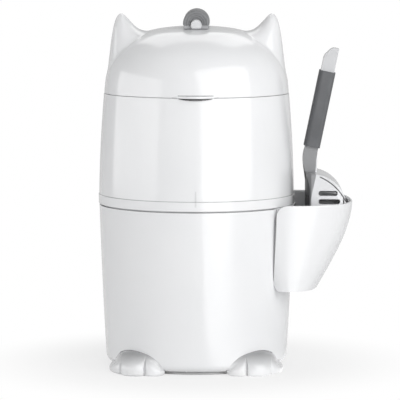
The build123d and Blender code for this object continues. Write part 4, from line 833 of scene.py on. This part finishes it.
def strapForm():
    # the strap's section carried round the pail's axis on the holder's side
    radius, height = np.array(holder["strap"]).T
    angle = np.radians(np.linspace(-holder["strapAngle"], holder["strapAngle"], 90))[:, None]
    return closed(np.stack(np.broadcast_arrays(radius * np.cos(angle), radius * np.sin(angle), height), -1))


pocketForm = pocket(0.0, holder["wall"], holder["high"], holder["low"])
linerInset = holder["wall"] + holder["linerGap"]
linerForm = pocket(linerInset, holder["linerWall"], holder["linerHigh"], holder["linerLow"])
pieceFrom("holderPocket", pocketForm, "holder_gloss", "base", ["scoop_holder"],
          sharp=40.0)
pieceFrom("holderStrap", strapForm(), "white_gloss", "base", ["scoop_holder"], sharp=40.0)
pieceFrom("holderLiner", linerForm, "dark_grey", "base", ["holder_liner"], sharp=40.0)
print("holder made")

# lamps are (bearing, rise, distance, width, height, power); pool edges are (x factor, y factor, from, to)
studio = {
    "floorSize": 16.0, "floorTone": rgba(0.8, 0.8, 0.8), "floorShare": (0.72, 1.0), "floorClear": (0.11, 0.3),
    "floorGloss": 0.5, "poolEdges": ((1.0, 0.1, 0.0, 0.05), (-0.77, -0.64, -0.2, 0.15)), "poolGlow": 2.2,
    "white": rgba(1.0, 1.0, 1.0), "skyFill": 0.57, "backDrop": 0.5, "backFrom": (-0.3, 0.9), "topDrop": 0.4,
    "topFrom": (0.1, 0.95), "mirrorFill": 0.6, "aim": 0.22,
    "lamps": {"keyBox": (37, 1.05, 2.2, 3.0, 2.2, 49.0), "leftBox": (-80, 0.6, 2.4, 3.4, 1.2, 23.0),
              "topBox": (180, 2.1, 1.3, 2.0, 1.4, 14.0)},
}


def floorFinish():
    # pale floor: mostly its own white where the camera or a reflection sees it, the rest takes the shadow,
    # and a wedge in front and to the right shines in reflections
    f = Finish(bpy.data.materials.new("floorWhite"))
    x, y, _ = f.axes()
    wedge = [(x * a + y * b).ramp(low, high) for a, b, low, high in studio["poolEdges"]]
    pool = wedge[0] * wedge[1]
    glossy = f.rays("Is Glossy Ray")
    mirrored = glossy * (pool * (1.0 - studio["floorGloss"]) + studio["floorGloss"])
    matt = f.add("ShaderNodeBsdfDiffuse", inputs={"Color": studio["floorTone"]})
    glow = glossy * pool * studio["poolGlow"] + 1.0
    lit = f.add("ShaderNodeEmission", inputs={"Color": studio["white"], "Strength": glow})
    away = f.add("ShaderNodeVectorMath", {"operation": "LENGTH"}, {0: f.place()}, out="Value")
    near, far = studio["floorShare"]
    seen = f.rays("Is Camera Ray") * (near + away.ramp(*studio["floorClear"]) * (far - near))
    both = f.add("ShaderNodeMixShader", inputs={0: seen.most(mirrored), 1: matt, 2: lit})
    f.add("ShaderNodeOutputMaterial", inputs={"Surface": both})
    return f.owner


def skyFinish(world):
    # white where the camera looks, a fill that falls off to the back and overhead, held up in reflections
    sky = Finish(world)
    _, back, up = sky.axes(sky.add("ShaderNodeTexCoord", out="Generated"))
    fill = studio["skyFill"] - back.ramp(*studio["backFrom"]) * studio["backDrop"]
    fill = fill - up.ramp(*studio["topFrom"]) * studio["topDrop"]
    fill = fill.most(sky.rays("Is Glossy Ray") * studio["mirrorFill"])
    level = sky.rays("Is Camera Ray") * (1.0 - fill) + fill
    light = sky.add("ShaderNodeBackground", inputs={"Color": studio["white"], "Strength": level})
    sky.add("ShaderNodeOutputWorld", inputs={"Surface": light})


def softbox(name, bearing, rise, distance, width, height, power):
    # bearing in degrees from the front towards +X, lamp turned to the pail's middle
    lamp = bpy.data.lights.new(name, "AREA")
    lamp.shape = "RECTANGLE"
    lamp.size = width
    lamp.size_y = height
    lamp.energy = power
    box = bpy.data.objects.new(name, lamp)
    angle = math.radians(bearing)
    box.location = (distance * math.sin(angle), -distance * math.cos(angle), rise)
    tilt = math.atan2(rise - studio["aim"], distance)
    box.rotation_euler = (math.pi / 2 - tilt, 0, angle)
    scene.collection.objects.link(box)


floorHalf = studio["floorSize"] / 2
corners = [(x * floorHalf, y * floorHalf, 0) for x, y in ((-1, -1), (1, -1), (1, 1), (-1, 1))]
floorMesh = bpy.data.meshes.new("floor")
floorMesh.from_pydata(corners, [], [(0, 1, 2, 3)])
floorMesh.materials.append(floorFinish())
floor = bpy.data.objects.new("floor", floorMesh)
scene.collection.objects.link(floor)
scene.world = bpy.data.worlds.new("studio")
skyFinish(scene.world)
for name, values in studio["lamps"].items():
    softbox(name, *values)
print("studio lit")

camera = {"focal": 2700.0, "pixels": 400, "sensor": 36.0, "distance": 3.264, "height": 0.528, "pitch": 5.75,
          "bearing": 0.5, "sideways": 0.0042, "farthest": 60.0}
lens = bpy.data.cameras.new("camera")
lens.sensor_width = camera["sensor"]
lens.lens = camera["focal"] / camera["pixels"] * camera["sensor"]
lens.clip_end = camera["farthest"]
viewer = bpy.data.objects.new("camera", lens)
turn = math.radians(camera["bearing"])
sine, cosine = math.sin(turn), math.cos(turn)
viewer.location = (camera["distance"] * sine + camera["sideways"] * cosine,
                   camera["sideways"] * sine - camera["distance"] * cosine, camera["height"])
viewer.rotation_euler = (math.radians(90 - camera["pitch"]), 0, turn)
scene.collection.objects.link(viewer)
scene.camera = viewer
scene.view_settings.view_transform = "Standard"

print("scene ready")
